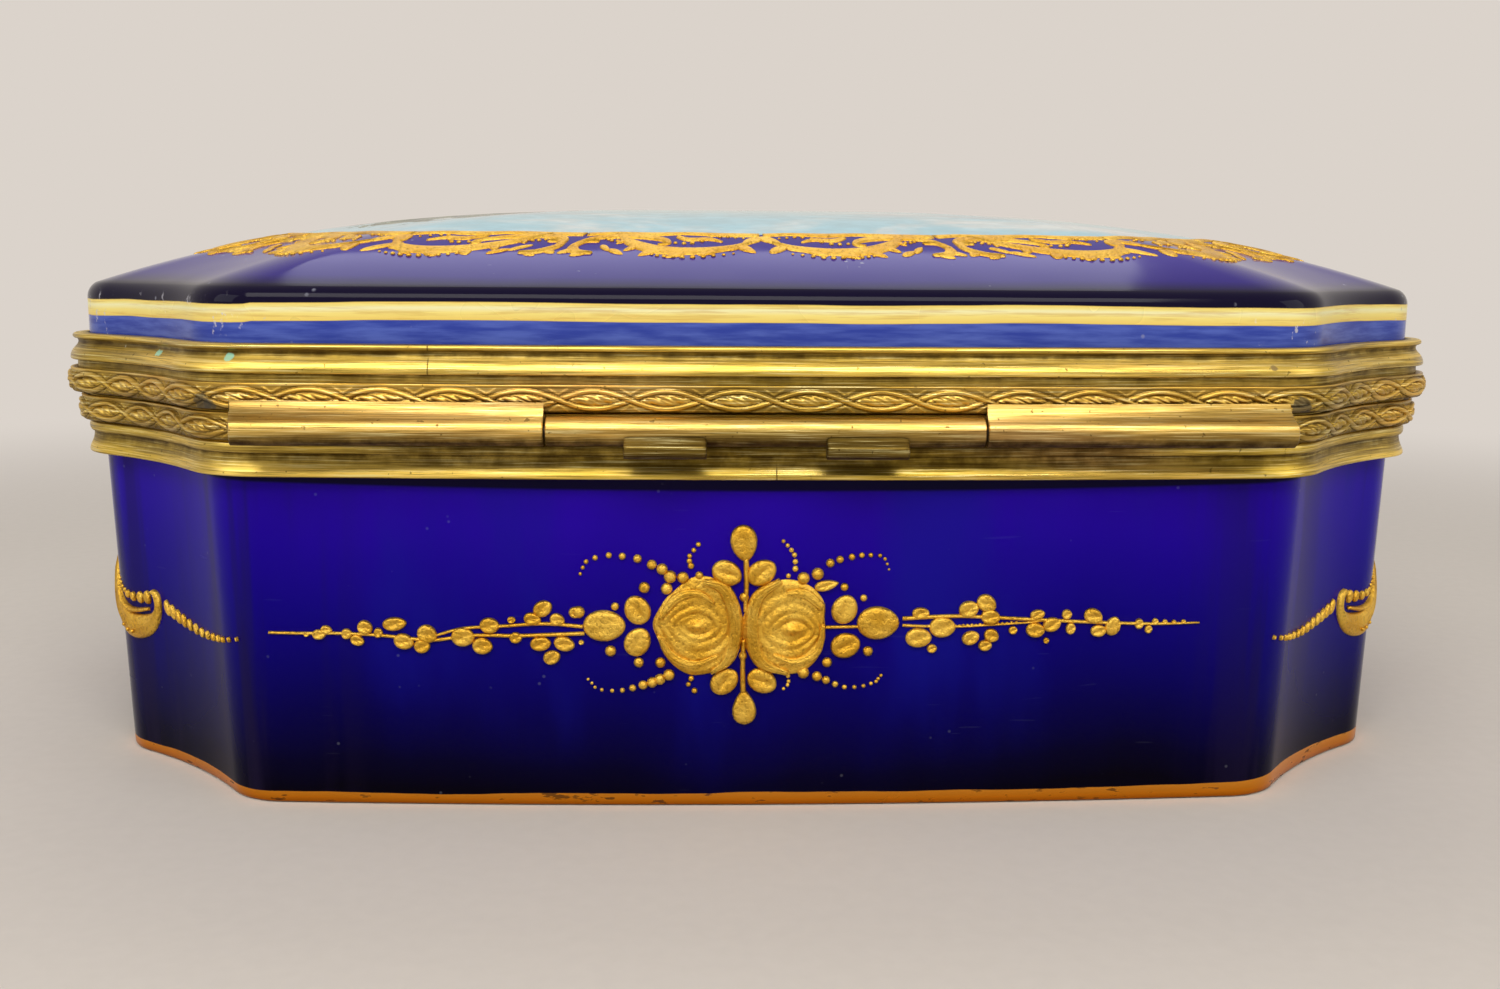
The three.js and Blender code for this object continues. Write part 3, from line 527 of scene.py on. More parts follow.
def quarter_plan():
    side = long_side()
    bend_a = side[-1, :2] - BEND_RADIUS * side[-1, 2:]
    end_y = HALF_DEPTH - LONG_SIDE_BOW - (HALF_LENGTH - LONG_SIDE_RUN)
    bend_b = np.array([HALF_LENGTH - BEND_RADIUS, end_y])
    span = bend_b - bend_a
    half_span = np.hypot(*span) / 2
    outward = np.array([-span[1], span[0]]) / np.hypot(*span)
    scoop = (bend_a + bend_b) / 2 + outward * math.sqrt((BEND_RADIUS + SCOOP_RADIUS) ** 2 - half_span**2)
    turn_a = math.atan2(*(scoop - bend_a)[::-1])
    turn_b = math.atan2(*(scoop - bend_b)[::-1])
    start = math.atan2(side[-1, 3], side[-1, 2])
    parts = [
        side,
        arc(bend_a, BEND_RADIUS, start, turn_a, BEND_STEPS, 1),
        arc(scoop, SCOOP_RADIUS, turn_a - math.pi, turn_b - math.pi, SCOOP_STEPS, -1),
        arc(bend_b, BEND_RADIUS, turn_b, 0, BEND_STEPS, 1),
    ]
    end = np.column_stack(
        [
            np.full(END_STEPS, HALF_LENGTH),
            end_y * (1 - np.arange(1, END_STEPS + 1) / END_STEPS),
            np.ones(END_STEPS),
            np.zeros(END_STEPS),
        ]
    )
    return np.vstack([*parts, end])


def whole_plan():
    quarter = quarter_plan()
    front = quarter[::-1][1:] * [1, -1, 1, -1]
    right = np.vstack([quarter, front])
    left = right[::-1][1:-1] * [-1, 1, -1, 1]
    return np.vstack([right, left])


PLAN = whole_plan()
STEP_LENGTHS = np.hypot(*(np.roll(PLAN[:, :2], -1, 0) - PLAN[:, :2]).T)
ALONG = np.concatenate([[0], np.cumsum(STEP_LENGTHS)])
GIRTH = ALONG[-1]
QUARTER = GIRTH / 4
print("the plan has", len(PLAN), "points and is", round(GIRTH / MM, 1), "mm round")


# %% Rings that run parallel to the plan
def ring(offset, z, scale=1.0):
    """A level loop at a distance outside the plan, or drawn in towards the middle by a scale."""
    flat = (PLAN[:, :2] + offset * PLAN[:, 2:]) * scale + MIDDLE
    return np.column_stack([flat, np.full(len(PLAN), z)])


def station(u):
    """Position and facing direction on the plan at a length u round it. Works on arrays."""
    wrapped = np.mod(u, GIRTH)
    closed = np.vstack([PLAN, PLAN[:1]])
    columns = [np.interp(wrapped, ALONG, closed[:, i]) for i in range(4)]
    facing = np.hypot(columns[2], columns[3])
    return columns[0], columns[1], columns[2] / facing, columns[3] / facing


def back_reach(x, offset):
    """How far back, in y, the line at this offset lies at x."""
    line = ring(offset, 0)
    half = line[: len(PLAN) // 2]
    half = half[: np.argmax(half[:, 0]) + 1]
    return np.interp(np.abs(x - MIDDLE[0]), half[:, 0] - MIDDLE[0], half[:, 1])


def smooth(low, high, value):
    """0 up to low, 1 from high on, and a soft step between. Works either way round and on arrays."""
    share = np.clip((value - low) / (high - low), 0, 1)
    return share * share * (3 - 2 * share)


# How sharply the plan bends at each point: 1 in the middle of a bend and 0 on the flats
TURNS = np.abs(np.cross(PLAN[:, 2:], np.roll(PLAN[:, 2:], -1, 0))) / STEP_LENGTHS * BEND_RADIUS
SOFTENED = np.array([np.mean(np.take(TURNS, range(i - 8, i + 9), mode="wrap")) for i in range(len(PLAN))])
BENDS = np.clip(SOFTENED / SOFTENED.max(), 0, 1)
print("the sharpest bends are near x =", round(float(PLAN[np.argmax(BENDS), 0]) / MM), "mm")

# %% [markdown]
# ## Meshes from rows of points
# A wall or a moulding is a stack of rings joined by quads. The helper below makes that mesh and gives
# it a UV in metres: across the image it runs round the box, and up it runs along the section. That way
# brushed streaks and painted lines keep their real size on every piece.

# %% Make a mesh from rows
def finish_mesh(name, mesh, body, materials):
    made = bpy.data.objects.new(name, mesh)
    bpy.context.scene.collection.objects.link(made)
    for material in materials:
        mesh.materials.append(material)
    mesh.polygons.foreach_set("use_smooth", [True] * len(mesh.polygons))
    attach(made, body)
    return made


def outwards(mesh):
    """Turns the faces of a closed mesh outwards and fills any open end."""
    work = bmesh.new()
    work.from_mesh(mesh)
    bmesh.ops.remove_doubles(work, verts=work.verts, dist=1e-7)
    open_edges = [e for e in work.edges if e.is_boundary]
    if open_edges:
        bmesh.ops.holes_fill(work, edges=open_edges, sides=0)
    bmesh.ops.recalc_face_normals(work, faces=work.faces)
    work.to_mesh(mesh)
    work.free()


def show(name, mesh, body, materials, node=None, sharp=None):
    """Puts a closed mesh in the scene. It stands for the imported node, if one is named."""
    outwards(mesh)
    if sharp:
        mesh.set_sharp_from_angle(angle=math.radians(sharp))
    made = finish_mesh(name, mesh, body, materials)
    if node:
        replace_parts(made, node)
    print(name, "has", len(mesh.polygons), "faces")
    return made


def rows_mesh(name, rows, closed=True, joined=False, values=None, painted=None):
    """Quads over rows of points. A closed row runs round in a loop, and joined rows meet end to end."""
    rows = np.asarray(rows)
    count, width = rows.shape[:2]
    bands = count if joined else count - 1
    cells = width if closed else width - 1
    r, c = np.meshgrid(np.arange(bands), np.arange(cells), indexing="ij")
    right, up = (c + 1) % width, (r + 1) % count
    faces = np.stack([r * width + c, r * width + right, up * width + right, up * width + c], -1)
    mesh = bpy.data.meshes.new(name)
    mesh.from_pydata(rows.reshape(-1, 3).tolist(), [], faces.reshape(-1, 4).tolist())
    first = rows[:, 0]
    climb = np.linalg.norm(np.roll(first, -1, 0) - first, axis=1)
    v = np.concatenate([[0], np.cumsum(climb)])
    middle = rows[count // 2]
    run = np.linalg.norm(np.roll(middle, -1, 0) - middle, axis=1)
    u = np.concatenate([[0], np.cumsum(run)])
    corners = np.stack([u[c], v[r], u[c + 1], v[r], u[c + 1], v[r + 1], u[c], v[r + 1]], -1)
    layer = mesh.uv_layers.new(name="round")
    layer.data.foreach_set("uv", corners.reshape(-1))
    for key, grid in (values or {}).items():
        attribute = mesh.attributes.new(key, "FLOAT", "POINT")
        attribute.data.foreach_set("value", np.broadcast_to(grid, (count, width)).astype(np.float32).ravel())
    if painted is not None:
        mesh.polygons.foreach_set("material_index", np.repeat(painted, cells))
    return mesh


print("row meshes ready")

# %% [markdown]
# ## The bowl
# The bowl was slip-cast: a wall about 4.5 mm thick that leans out a little towards its rim, a floor,
# and a foot ring. It is one skin of rings from the recess under the foot, over the rim and down to the
# middle of the floor. Its rows also say which glaze they carry: cobalt outside, white inside.

# %% Make the bowl
RIM_Z = 72.4 * MM
FOOT_OFFSET = -3.2 * MM
RIM_OFFSET = -0.9 * MM
BOWL_WALL = 4.5 * MM
FOOT_WIDTH = 3.9 * MM
FOOT_RECESS = 2.5 * MM
FLOOR_Z = 6.5 * MM
FLOOR_FILLET = 6 * MM
ARRIS = 0.4 * MM


def bowl_offset(z):
    return FOOT_OFFSET + (RIM_OFFSET - FOOT_OFFSET) * z / RIM_Z


def rounded(offset, z, radius, start, end, steps):
    """Offsets and heights along a small arc of a section, in degrees from straight outwards."""
    angles = np.radians(np.linspace(start, end, steps))
    return [(offset + radius * math.cos(a), z + radius * math.sin(a)) for a in angles]


def bowl_rows():
    foot_in = FOOT_OFFSET - ARRIS - FOOT_WIDTH
    rows, glaze = [], []

    def lay(offset, z, scale, kind):
        rows.append(ring(offset, z, scale))
        glaze.append(kind)

    for scale in (0.02, 0.3, 0.6, 0.85, 0.97):
        lay(foot_in - ARRIS, FOOT_RECESS, scale, 1)
    lay(foot_in - ARRIS, FOOT_RECESS, 1, 1)
    lay(foot_in, ARRIS, 1, 2)
    lay(foot_in + ARRIS / 2, 0, 1, 2)
    for offset, z in rounded(FOOT_OFFSET - ARRIS, ARRIS, ARRIS, -90, 0, 4):
        lay(offset, z, 1, 2 if z < ARRIS / 2 else 0)
    for z in np.linspace(1.5 * MM, RIM_Z - ARRIS, 34):
        lay(bowl_offset(z), z, 1, 0)
    for offset, z in rounded(RIM_OFFSET - ARRIS, RIM_Z - ARRIS, ARRIS, 30, 90, 3):
        lay(offset, z, 1, 0)
    for offset, z in rounded(RIM_OFFSET - BOWL_WALL + ARRIS, RIM_Z - ARRIS, ARRIS, 90, 180, 4):
        lay(offset, z, 1, 1)
    top = FLOOR_Z + FLOOR_FILLET
    for z in np.linspace(RIM_Z - 4 * MM, top, 14):
        lay(bowl_offset(z) - BOWL_WALL, z, 1, 1)
    for angle in np.radians(np.linspace(12, 90, 8)):
        drawn_in = FLOOR_FILLET * (1 - math.cos(angle)) / HALF_LENGTH
        lay(bowl_offset(top) - BOWL_WALL, top - FLOOR_FILLET * math.sin(angle), 1 - drawn_in, 1)
    for scale in (0.9, 0.7, 0.45, 0.2, 0.02):
        lay(bowl_offset(top) - BOWL_WALL, FLOOR_Z, scale, 1)
    return rows, glaze


rows, glaze = bowl_rows()
bowl_mesh = rows_mesh("bowl", rows, values={"bend": BENDS}, painted=np.array(glaze[1:]))
show("bowl", bowl_mesh, "base", [COBALT, WHITE, BARE], "base_bowl")

# %% [markdown]
# ## The lid
# The lid's wall rises out of its mount, rolls over a rounded shoulder and then climbs slowly to a low
# dome. Drawing each ring in towards the middle by the same share leaves the soft ridges that run up
# from the corners. The innermost part is a painted reserve, framed by raised gold scrolls.

# %% Make the lid
LID_OFFSET = 0.8 * MM
LID_WALL = 4.5 * MM
LID_RIM_Z = 77.3 * MM
SHOULDER_Z = 93.8 * MM
SHOULDER_RADIUS = 3.5 * MM
SHOULDER_TURN = 60
DOME_RISE = 16.5 * MM
DOME_FULLNESS = 3
DOME_THICKNESS = 4 * MM
PANEL_SHARE = 0.735  # the painted reserve fills this share of the dome, measured from the middle
DOME_Z = SHOULDER_Z + SHOULDER_RADIUS * math.sin(math.radians(SHOULDER_TURN))
DOME_OFFSET = LID_OFFSET - SHOULDER_RADIUS * (1 - math.cos(math.radians(SHOULDER_TURN)))


def dome_height(share):
    return DOME_Z + DOME_RISE * (1 - share**DOME_FULLNESS)


def lid_rows():
    rows, kinds = [], []

    def lay(offset, z, scale, kind):
        rows.append(ring(offset, z, scale))
        kinds.append(kind)

    inner = LID_OFFSET - LID_WALL
    for share in (0.02, 0.2, 0.4, 0.6, 0.75, 0.88, 0.96, 1):
        lay(inner, dome_height(share) - DOME_THICKNESS, share, 1)
    for z in np.linspace(DOME_Z - DOME_THICKNESS - 3 * MM, LID_RIM_Z + ARRIS, 5):
        lay(inner, z, 1, 1)
    lay(inner + ARRIS, LID_RIM_Z, 1, 1)
    lay(LID_OFFSET - ARRIS, LID_RIM_Z, 1, 1)
    for z in np.linspace(LID_RIM_Z + ARRIS, SHOULDER_Z - 0.3 * MM, 16):
        lay(LID_OFFSET, z, 1, 0)
    for offset, z in rounded(LID_OFFSET - SHOULDER_RADIUS, SHOULDER_Z, SHOULDER_RADIUS, 0, SHOULDER_TURN, 10):
        lay(offset, z, 1, 0)
    for share in np.linspace(0.99, PANEL_SHARE, 20):
        lay(DOME_OFFSET, dome_height(share), share, 0)
    for share in np.linspace(PANEL_SHARE, 0.02, 34)[1:]:
        lay(DOME_OFFSET, dome_height(share), share, 2)
    return rows, kinds


# %% [markdown]
# The reserve on such lids holds a small painted scene. This one is a general landscape of our own:
# an evening sky, two lines of hills, a lake, trees on one side and a flowery bank. Each layer is a mask
# whose edge is a wavy line or a cloud of noise, laid over the one behind it like coats of paint.

# %% Paint the reserve
TREES = [  # place in m, reach in m, dark and light: clumps of leaves at +X, and a few at -X
    (0.068, 0.016, 0.034, (38, 58, 30), (120, 132, 62)),
    (0.05, -0.012, 0.02, (46, 64, 30), (150, 140, 70)),
    (-0.078, 0.004, 0.024, (44, 66, 40), (128, 142, 76)),
]


def painted_panel():
    finish = Finish("painted_panel", specular=0.08)
    y = finish.axes()[1]
    brush = finish.cloud((170, 260, 170), 4.0, 0.6)

    def tint(share, one, two):
        return finish.mix(share, srgb(*one), srgb(*two))

    def below(level, sway, scale, soft):
        """1 in front of a wavy line across the scene, and 0 beyond it."""
        wave = finish.cloud((scale, 0.01, 0.01), 4.0, 0.55)
        return (finish.math("MULTIPLY_ADD", wave, sway, level - sway / 2) - y).step(-soft, soft)

    sky = tint(y.step(0.0, 0.062), (236, 228, 204), (176, 214, 226))
    billow = finish.cloud((22, 38, 22), 6.0, 0.6, 0.4)
    sky = finish.mix(billow.step(0.48, 0.66, 0, 0.8), sky, srgb(238, 236, 230))
    scene = finish.mix(finish.cloud((16, 30, 16), 3.0).step(0.56, 0.72, 0, 0.5), sky, srgb(226, 172, 158))
    glitter = finish.cloud((40, 520, 40), 3.0)
    meadow_tone = finish.cloud((60, 120, 60), 5.0, 0.65)
    # Far hills, near hills, shore, water and meadow, each in front of the one before
    for edge, tones in (
        ((0.018, 0.022, 16, 0.0009), (brush, (118, 140, 168), (150, 160, 174))),
        ((0.006, 0.016, 22, 0.0006), (brush, (88, 118, 96), (134, 150, 106))),
        ((-0.003, 0.003, 60, 0.0004), (brush, (70, 92, 52), (120, 128, 66))),
        ((-0.007, 0.003, 45, 0.0004), (glitter, (112, 150, 168), (196, 210, 202))),
        ((-0.026, 0.022, 20, 0.0006), (meadow_tone, (66, 84, 34), (150, 146, 72))),
    ):
        scene = finish.mix(below(*edge), scene, tint(*tones))
    blooms = finish.field("TexVoronoi", output="Distance", Vector=finish.place, Scale=420.0)
    petal = tint(meadow_tone.step(0.45, 0.55), (214, 96, 84), (244, 226, 190))
    scene = finish.mix(blooms.step(0.3, 0.12) * below(-0.034, 0.01, 30, 0.004), scene, petal)
    # Rounded clumps of leaves that thin out towards their edges
    for middle_x, middle_y, reach, dark, light in TREES:
        away = finish.away((middle_x, middle_y * 1.15, 0), finish.mapped((1, 1.15, 0)))
        crown = (finish.cloud((120, 120, 120), 6.0, 0.7) * (reach * 1.9) - away).step(-0.0008, 0.0012)
        sunlit = finish.cloud((260, 320, 260), 4.0, 0.7).step(0.4, 0.68)
        scene = finish.mix(crown, scene, tint(sunlit, dark, light))
    scene = finish.mix(brush.step(0.35, 0.7, 0.12, 0), scene, srgb(96, 84, 70))
    finish.bump(brush, 0.00012, 0.5)
    return finish.wire(Base_Color=scene, Roughness=brush.step(0.3, 0.7, 0.08, 0.2))


PANEL = painted_panel()
rows, kinds = lid_rows()
# The corner at the back left of the photograph is rubbed hardest, over its whole cant
HARD_CORNER = (PLAN[:, 0] > LONG_SIDE_RUN) & (PLAN[:, 1] > HALF_DEPTH - (HALF_LENGTH - LONG_SIDE_RUN))
RUBBED = np.where(HARD_CORNER, np.maximum(BENDS, 0.55), BENDS * 0.6)
lid_mesh = rows_mesh("lid", rows, values={"bend": RUBBED}, painted=np.array(kinds[1:]))
show("lid", lid_mesh, "lid", [LID_COBALT, WHITE, PANEL], "lid_dome")
print("the apex of the lid is at", round(dome_height(0.02) / MM, 1), "mm")

# %% [markdown]
# ## The rolled mounts
# Each mount is a strip of brass rolled to a section of reeds, coves and beads, bent round the rim and soldered. So the
# mesh is that section, drawn as small arcs, swept along the plan. Every row also says how hollow it lies, from 0 on a
# crest to 1 in a cove, and the finish puts brown dirt and painted shade there, with more painted shade on the
# undersides.

# %% Sweep the mouldings round the box
LID_Z = 75.0 * MM
GAP = 0.3 * MM


def roll(offset, low, high, out, steps, dirt_and_shade):
    """A reed, as offset, height, and dirt with painted shade on its underside."""
    angles = np.pi * np.arange(steps + 1) / steps
    middle, half = (low + high) / 2, (high - low) / 2
    under = np.cos(angles) * 0.5 + 0.5
    # Dirt towards the coves, and painted shade on the reed's underside
    held_dirt_and_shade = np.clip(dirt_and_shade * (1 - np.sin(angles)) ** 2 + 0.6 * under**2, 0, 1)
    return [((offset + out * math.sin(a)) * MM, (middle - half * math.cos(a)) * MM, h) for a, h in zip(angles, held_dirt_and_shade)]


def flat(*points):
    return [(offset * MM, z * MM, dirt_and_shade) for offset, z, dirt_and_shade in points]


def flowing(points, steps):
    """A smooth run of the section through the given points, in even steps."""
    offset, z, dirt_and_shade = np.array(points, float).T
    at = np.linspace(0, len(points) - 1, steps)
    nodes = np.arange(len(points))
    soft = [np.interp(at, nodes, column) for column in (offset, z, dirt_and_shade)]
    soft = [np.convolve(np.pad(c, 3, "reflect", reflect_type="odd"), np.ones(7) / 7, "valid") for c in soft]
    return [(o * MM, h * MM, d) for o, h, d in zip(*soft)]


# The third number of each point in both sections is brown dirt in the coves and painted shade on the undersides.
# Both mounts flow out downwards to a crest with a sharp undercut, so that their lower thirds catch the light
BASE_SECTION = [
    *flat((-0.9, 62.8, 0.9), (1.0, 62.8, 0.9), (1.6, 62.8, 0.7), (1.84, 62.85, 0.4), (1.97, 62.97, 0.1)),
    *flowing(
        [(2.0, 63.15, 0), (1.98, 63.5, 0), (1.8, 64.0, 0), (1.45, 64.7, 0.3), (1.12, 65.5, 0.7), (1.0, 66.5, 0.9)],
        22,
    ),
    *flat((1.0, 66.8, 1.0), (1.1, 66.95, 1.0)),
    *roll(1.2, 67.0, 69.2, 0.6, 16, 0.8),
    *flat((1.45, 69.25, 0.6), (1.6, 69.35, 0.5), (1.6, 70, 0.8), (1.6, 74.0, 0.8), (1.6, 74.6, 0.3)),
    *flat((1.5, 74.7, 0.2), (0.4, 74.7, 0.2), (0.3, 74.6, 0.3), (0.3, 63.8, 1), (-0.9, 63.8, 1)),
]
LID_SECTION = [
    *flat((2.1, 75.0, 0.2), (3.2, 75.0, 0.2), (3.3, 75.1, 0.3), (3.3, 79.6, 0.5), (3.32, 80.3, 0.7)),
    *flat((3.3, 80.9, 0.75), (3.25, 81.3, 0.95), (3.3, 81.45, 1.0), (4.0, 81.5, 0.9), (4.4, 81.58, 0.45)),
    *flat((4.56, 81.72, 0.1)),
    *flowing(
        [(4.6, 81.95, 0), (4.58, 82.4, 0), (4.42, 82.9, 0), (4.12, 83.4, 0.04), (3.7, 83.9, 0.2),
         (3.2, 84.4, 0.6), (2.95, 84.9, 1.0), (2.95, 85.3, 1.0), (3.2, 85.6, 0.8)],
        34,
    ),
    *roll(3.2, 85.65, 86.8, 0.8, 14, 0.5)[1:],
    *flat((2.6, 86.8, 0.4), (1.2, 86.8, 0.7), (1.1, 86.7, 1), (1.1, 85.8, 1), (2.0, 85.8, 1), (2.0, 75.1, 0.3)),
]
# Painted shadow of the hinge: under the hinge the mount is painted dark brown
HINGE_SHADOW = smooth(84 * MM, 60 * MM, np.abs(PLAN[:, 0])) * (PLAN[:, 1] > 0)


def swept(name, section, body, material, node):
    rows = [ring(offset, z) for offset, z, _ in section]
    hollow = np.array([[dirt_and_shade] for _, _, dirt_and_shade in section])
    if node == "base_mount_moulding":
        heights = np.array([[z] for _, z, _ in section])
        # Painted shadow of the hinge over the base mount's reed
        beside = smooth(64.2 * MM, 65.4 * MM, heights) * smooth(72 * MM, 70 * MM, heights)
        hollow = np.maximum(hollow, 0.9 * beside * HINGE_SHADOW)
    mesh = rows_mesh(name, rows, joined=True, values={"hollow": hollow})
    show(name, mesh, body, [material], node, sharp=50)


swept("base_moulding", BASE_SECTION, "base", GILT_BRASS, "base_mount_moulding")
swept("lid_moulding", LID_SECTION, "lid", GILT_BRASS, "lid_mount_moulding")

# %% [markdown]
# ## Collars and cement
# Plain brass collars line both rims, and a bed of cement holds the porcelain in each mount. Both show
# only with the lid open, so they are simple sections, swept like the mounts. The cement is seen as a
# pale line between brass and glaze.

# %% Sweep the collars and the cement
BASE_INSIDE = (RIM_OFFSET - BOWL_WALL) / MM
LID_INSIDE = (LID_OFFSET - LID_WALL) / MM


def collar_section(inside, outer, face, inwards):
    gap, thick, edge = 0.3, 0.8, 0.15
    skirt, lip = inside - gap, outer - gap
    under, end = face + 2 * inwards, face + 9 * inwards
    return flat(
        (skirt - thick + edge, face, 0.1),
        (lip - edge, face, 0.1),
        (lip, face + edge * inwards, 0.2),
        (lip, under, 0.4),
        (skirt, under, 0.6),
        (skirt, end, 0.6),
        (skirt - 0.4, end + edge * inwards, 0.2),
        (skirt - thick, end - edge * inwards, 0.2),
        (skirt - thick, face + 5 * inwards, 0.1),
        (skirt - thick, face + edge * inwards, 0.1),
    )


def bed_section(inner_low, inner_high, outer, low, high):
    return flat((inner_low + 0.3, low, 0), (outer - 0.3, low, 0), (outer - 0.3, high, 0), (inner_high + 0.3, high, 0))


swept("base_collar", collar_section(BASE_INSIDE, 0.3, 74.7, -1), "base", PLAIN_BRASS, "base_rim_collar")
swept("lid_collar", collar_section(LID_INSIDE, 2.0, 75.0, 1), "lid", PLAIN_BRASS, "lid_rim_collar")
wall_at = [bowl_offset(z * MM) / MM for z in (64.1, 72.0)]
swept("base_cement", bed_section(*wall_at, 0.3, 64.1, 72.0), "base", CEMENT, "base_cement_bed")
swept("lid_cement", bed_section(0.8, 0.8, 2.0, 77.7, 85.5), "lid", CEMENT, "lid_cement_bed")

# %% [markdown]
# ## The stamped strips
# A stamped strip of guilloche is soldered on each mount: two ridged ribbons cross over and under, and
# each lens between them holds a leaf. Such a strip repeats, so two lenses are modelled once as a relief
# and a Geometry Nodes tree lays copies in a row, then bends the row along the outline of the box.
# The relief is carried as an attribute, so that the tree can wear it down where hands have rubbed it.

# %% Helpers for node trees that make geometry
class Tree:
    """A tree that takes geometry and the named inputs, given as name and socket type."""

    def __init__(self, name, inputs):
        self.group = bpy.data.node_groups.new(name, "GeometryNodeTree")
        for key, kind in {"Geometry": "Geometry", **inputs}.items():
            self.group.interface.new_socket(key, in_out="INPUT", socket_type="NodeSocket" + kind)
        self.group.interface.new_socket("Geometry", in_out="OUTPUT", socket_type="NodeSocketGeometry")
        self.given = self.add("NodeGroupInput").outputs

    def add(self, kind, settings=None, **inputs):
        """Adds a node. An input given as a node stands for that node's first output."""
        node = self.group.nodes.new(kind)
        for key, value in (settings or {}).items():
            setattr(node, key, value)
        for key, value in inputs.items():
            socket = node.inputs[int(key[1:])] if key[0] == "_" else node.inputs[key.replace("_", " ")]
            if isinstance(value, bpy.types.Node):
                value = value.outputs[0]
            if isinstance(value, bpy.types.NodeSocket):
                self.group.links.new(value, socket)
            else:
                socket.default_value = value
        return node

    def math(self, operation, first, second):
        return self.add("ShaderNodeMath", {"operation": operation}, _0=first, _1=second)

    def vector(self, operation, first, **inputs):
        return self.add("ShaderNodeVectorMath", {"operation": operation}, _0=first, **inputs)

    def xyz(self, **parts):
        return self.add("ShaderNodeCombineXYZ", **parts)

    def named(self, name, kind="FLOAT"):
        return self.add("GeometryNodeInputNamedAttribute", {"data_type": kind}, Name=name)

    def close(self, geometry, material):
        """Realizes the instances, sets the material and hands the tree back."""
        real = self.add("GeometryNodeRealizeInstances", Geometry=geometry)
        clad = self.add("GeometryNodeSetMaterial", Geometry=real, Material=material)
        self.add("NodeGroupOutput", _0=clad)
        return self.group


def run_tree(name, tree, start, values):
    """Runs the tree on the start mesh and returns the result as a plain mesh."""
    carrier = bpy.data.objects.new(name + "_carrier", start)
    bpy.context.scene.collection.objects.link(carrier)
    modifier = carrier.modifiers.new("nodes", "NODES")
    modifier.node_group = tree
    for item in tree.interface.items_tree:
        if item.in_out == "INPUT" and item.name in values:
            modifier[item.identifier] = values[item.name]
    shown = carrier.evaluated_get(bpy.context.evaluated_depsgraph_get())
    mesh = bpy.data.meshes.new_from_object(shown)
    mesh.name = name
    bpy.data.objects.remove(carrier)
    return mesh


print("tree helpers ready")


# %% Model two lenses of the guilloche
CELL_COLUMNS, STRIP_ROWS = 54, 26
STRIP_EDGE = 1.0 * MM
STRIP_CROWN = 0.9 * MM
FIELD = 0.3  # the stamped ground, between the cut outlines at 0 and the ribbons at 1
WEAVE_MIDDLE = 0.45
WEAVE_SWING = 0.335
RIBBON_HALF = 0.075


def leaf_relief(s, t):
    """A bud lying in a lens, pointed at both ends: slanting lobes with cuts between, inside a cut outline."""
    lens = np.maximum((WEAVE_SWING - 0.1) * np.sin(np.pi * s) ** 1.1 - 0.02, 1e-3)
    across = (t - WEAVE_MIDDLE) / lens
    body = np.sqrt(np.clip(1 - across**2, 0, 1)) * smooth(0.12, 0.2, s) * smooth(0.88, 0.8, s)
    curl = across - 0.9 * np.sin(2 * np.pi * (s - 0.5)) * smooth(0.15, 0.4, s)
    middle = np.exp(-((curl / 0.17) ** 2))
    lobes = np.abs(np.sin(np.pi * (s * 5.2 - across * 0.55))) ** 0.7
    relief = FIELD + body * (0.25 + 0.5 * lobes - 0.5 * middle)
    outline = np.exp(-(((np.abs(across) - 1.04) / 0.1) ** 2)) * smooth(0.1, 0.2, s) * smooth(0.9, 0.8, s)
    return relief - FIELD * 0.8 * outline


def ribbon_relief(distance):
    """A rounded ribbon with a cut line along both edges, and how much of the ground it hides."""
    near = np.abs(distance)
    top = 0.72 + 0.28 * np.sqrt(np.clip(1 - (near / RIBBON_HALF) ** 2, 0, 1))
    hides = smooth(RIBBON_HALF + 0.022, RIBBON_HALF - 0.006, near)
    cut = np.exp(-(((near - RIBBON_HALF - 0.035) / 0.02) ** 2))
    return top, hides, cut


def laid_over(ground, ribbon):
    top, hides, cut = ribbon
    ground = ground * (1 - 0.95 * cut)
    return ground * (1 - hides) + top * hides


def guilloche(s, t):
    """Relief from 0 to 1 at s lenses along the strip and t of its height."""
    wave = WEAVE_SWING * np.sin(np.pi * s)
    slope = np.sqrt(1 + 0.16 * np.cos(np.pi * s) ** 2)
    first = ribbon_relief((t - WEAVE_MIDDLE - wave) / slope)
    second = ribbon_relief((t - WEAVE_MIDDLE + wave) / slope)
    over = np.cos(np.pi * s) > 0
    on_top = [np.where(over, a, b) for a, b in zip(first, second)]
    below = [np.where(over, b, a) for a, b in zip(first, second)]
    lens_at = np.mod(s, 1)
    ground = np.where(np.abs(wave) > 0.12, leaf_relief(lens_at, t), FIELD)
    # Small pointed leaves fill the ground above and below each crossing
    between = np.abs(np.mod(s + 0.5, 1) - 0.5)
    for tip, way in ((WEAVE_MIDDLE + 0.2, 1), (WEAVE_MIDDLE - 0.2, -1)):
        rise = (t - tip) * way
        ground = np.maximum(ground, FIELD + 0.4 * smooth(0.035, 0.0, np.abs(rise - 1.5 * between)) * (between < 0.13))
    ground = np.maximum(ground, FIELD + 0.35 * smooth(0.9, 0.95, t))
    return np.clip(laid_over(laid_over(ground, below), on_top), 0, 1)


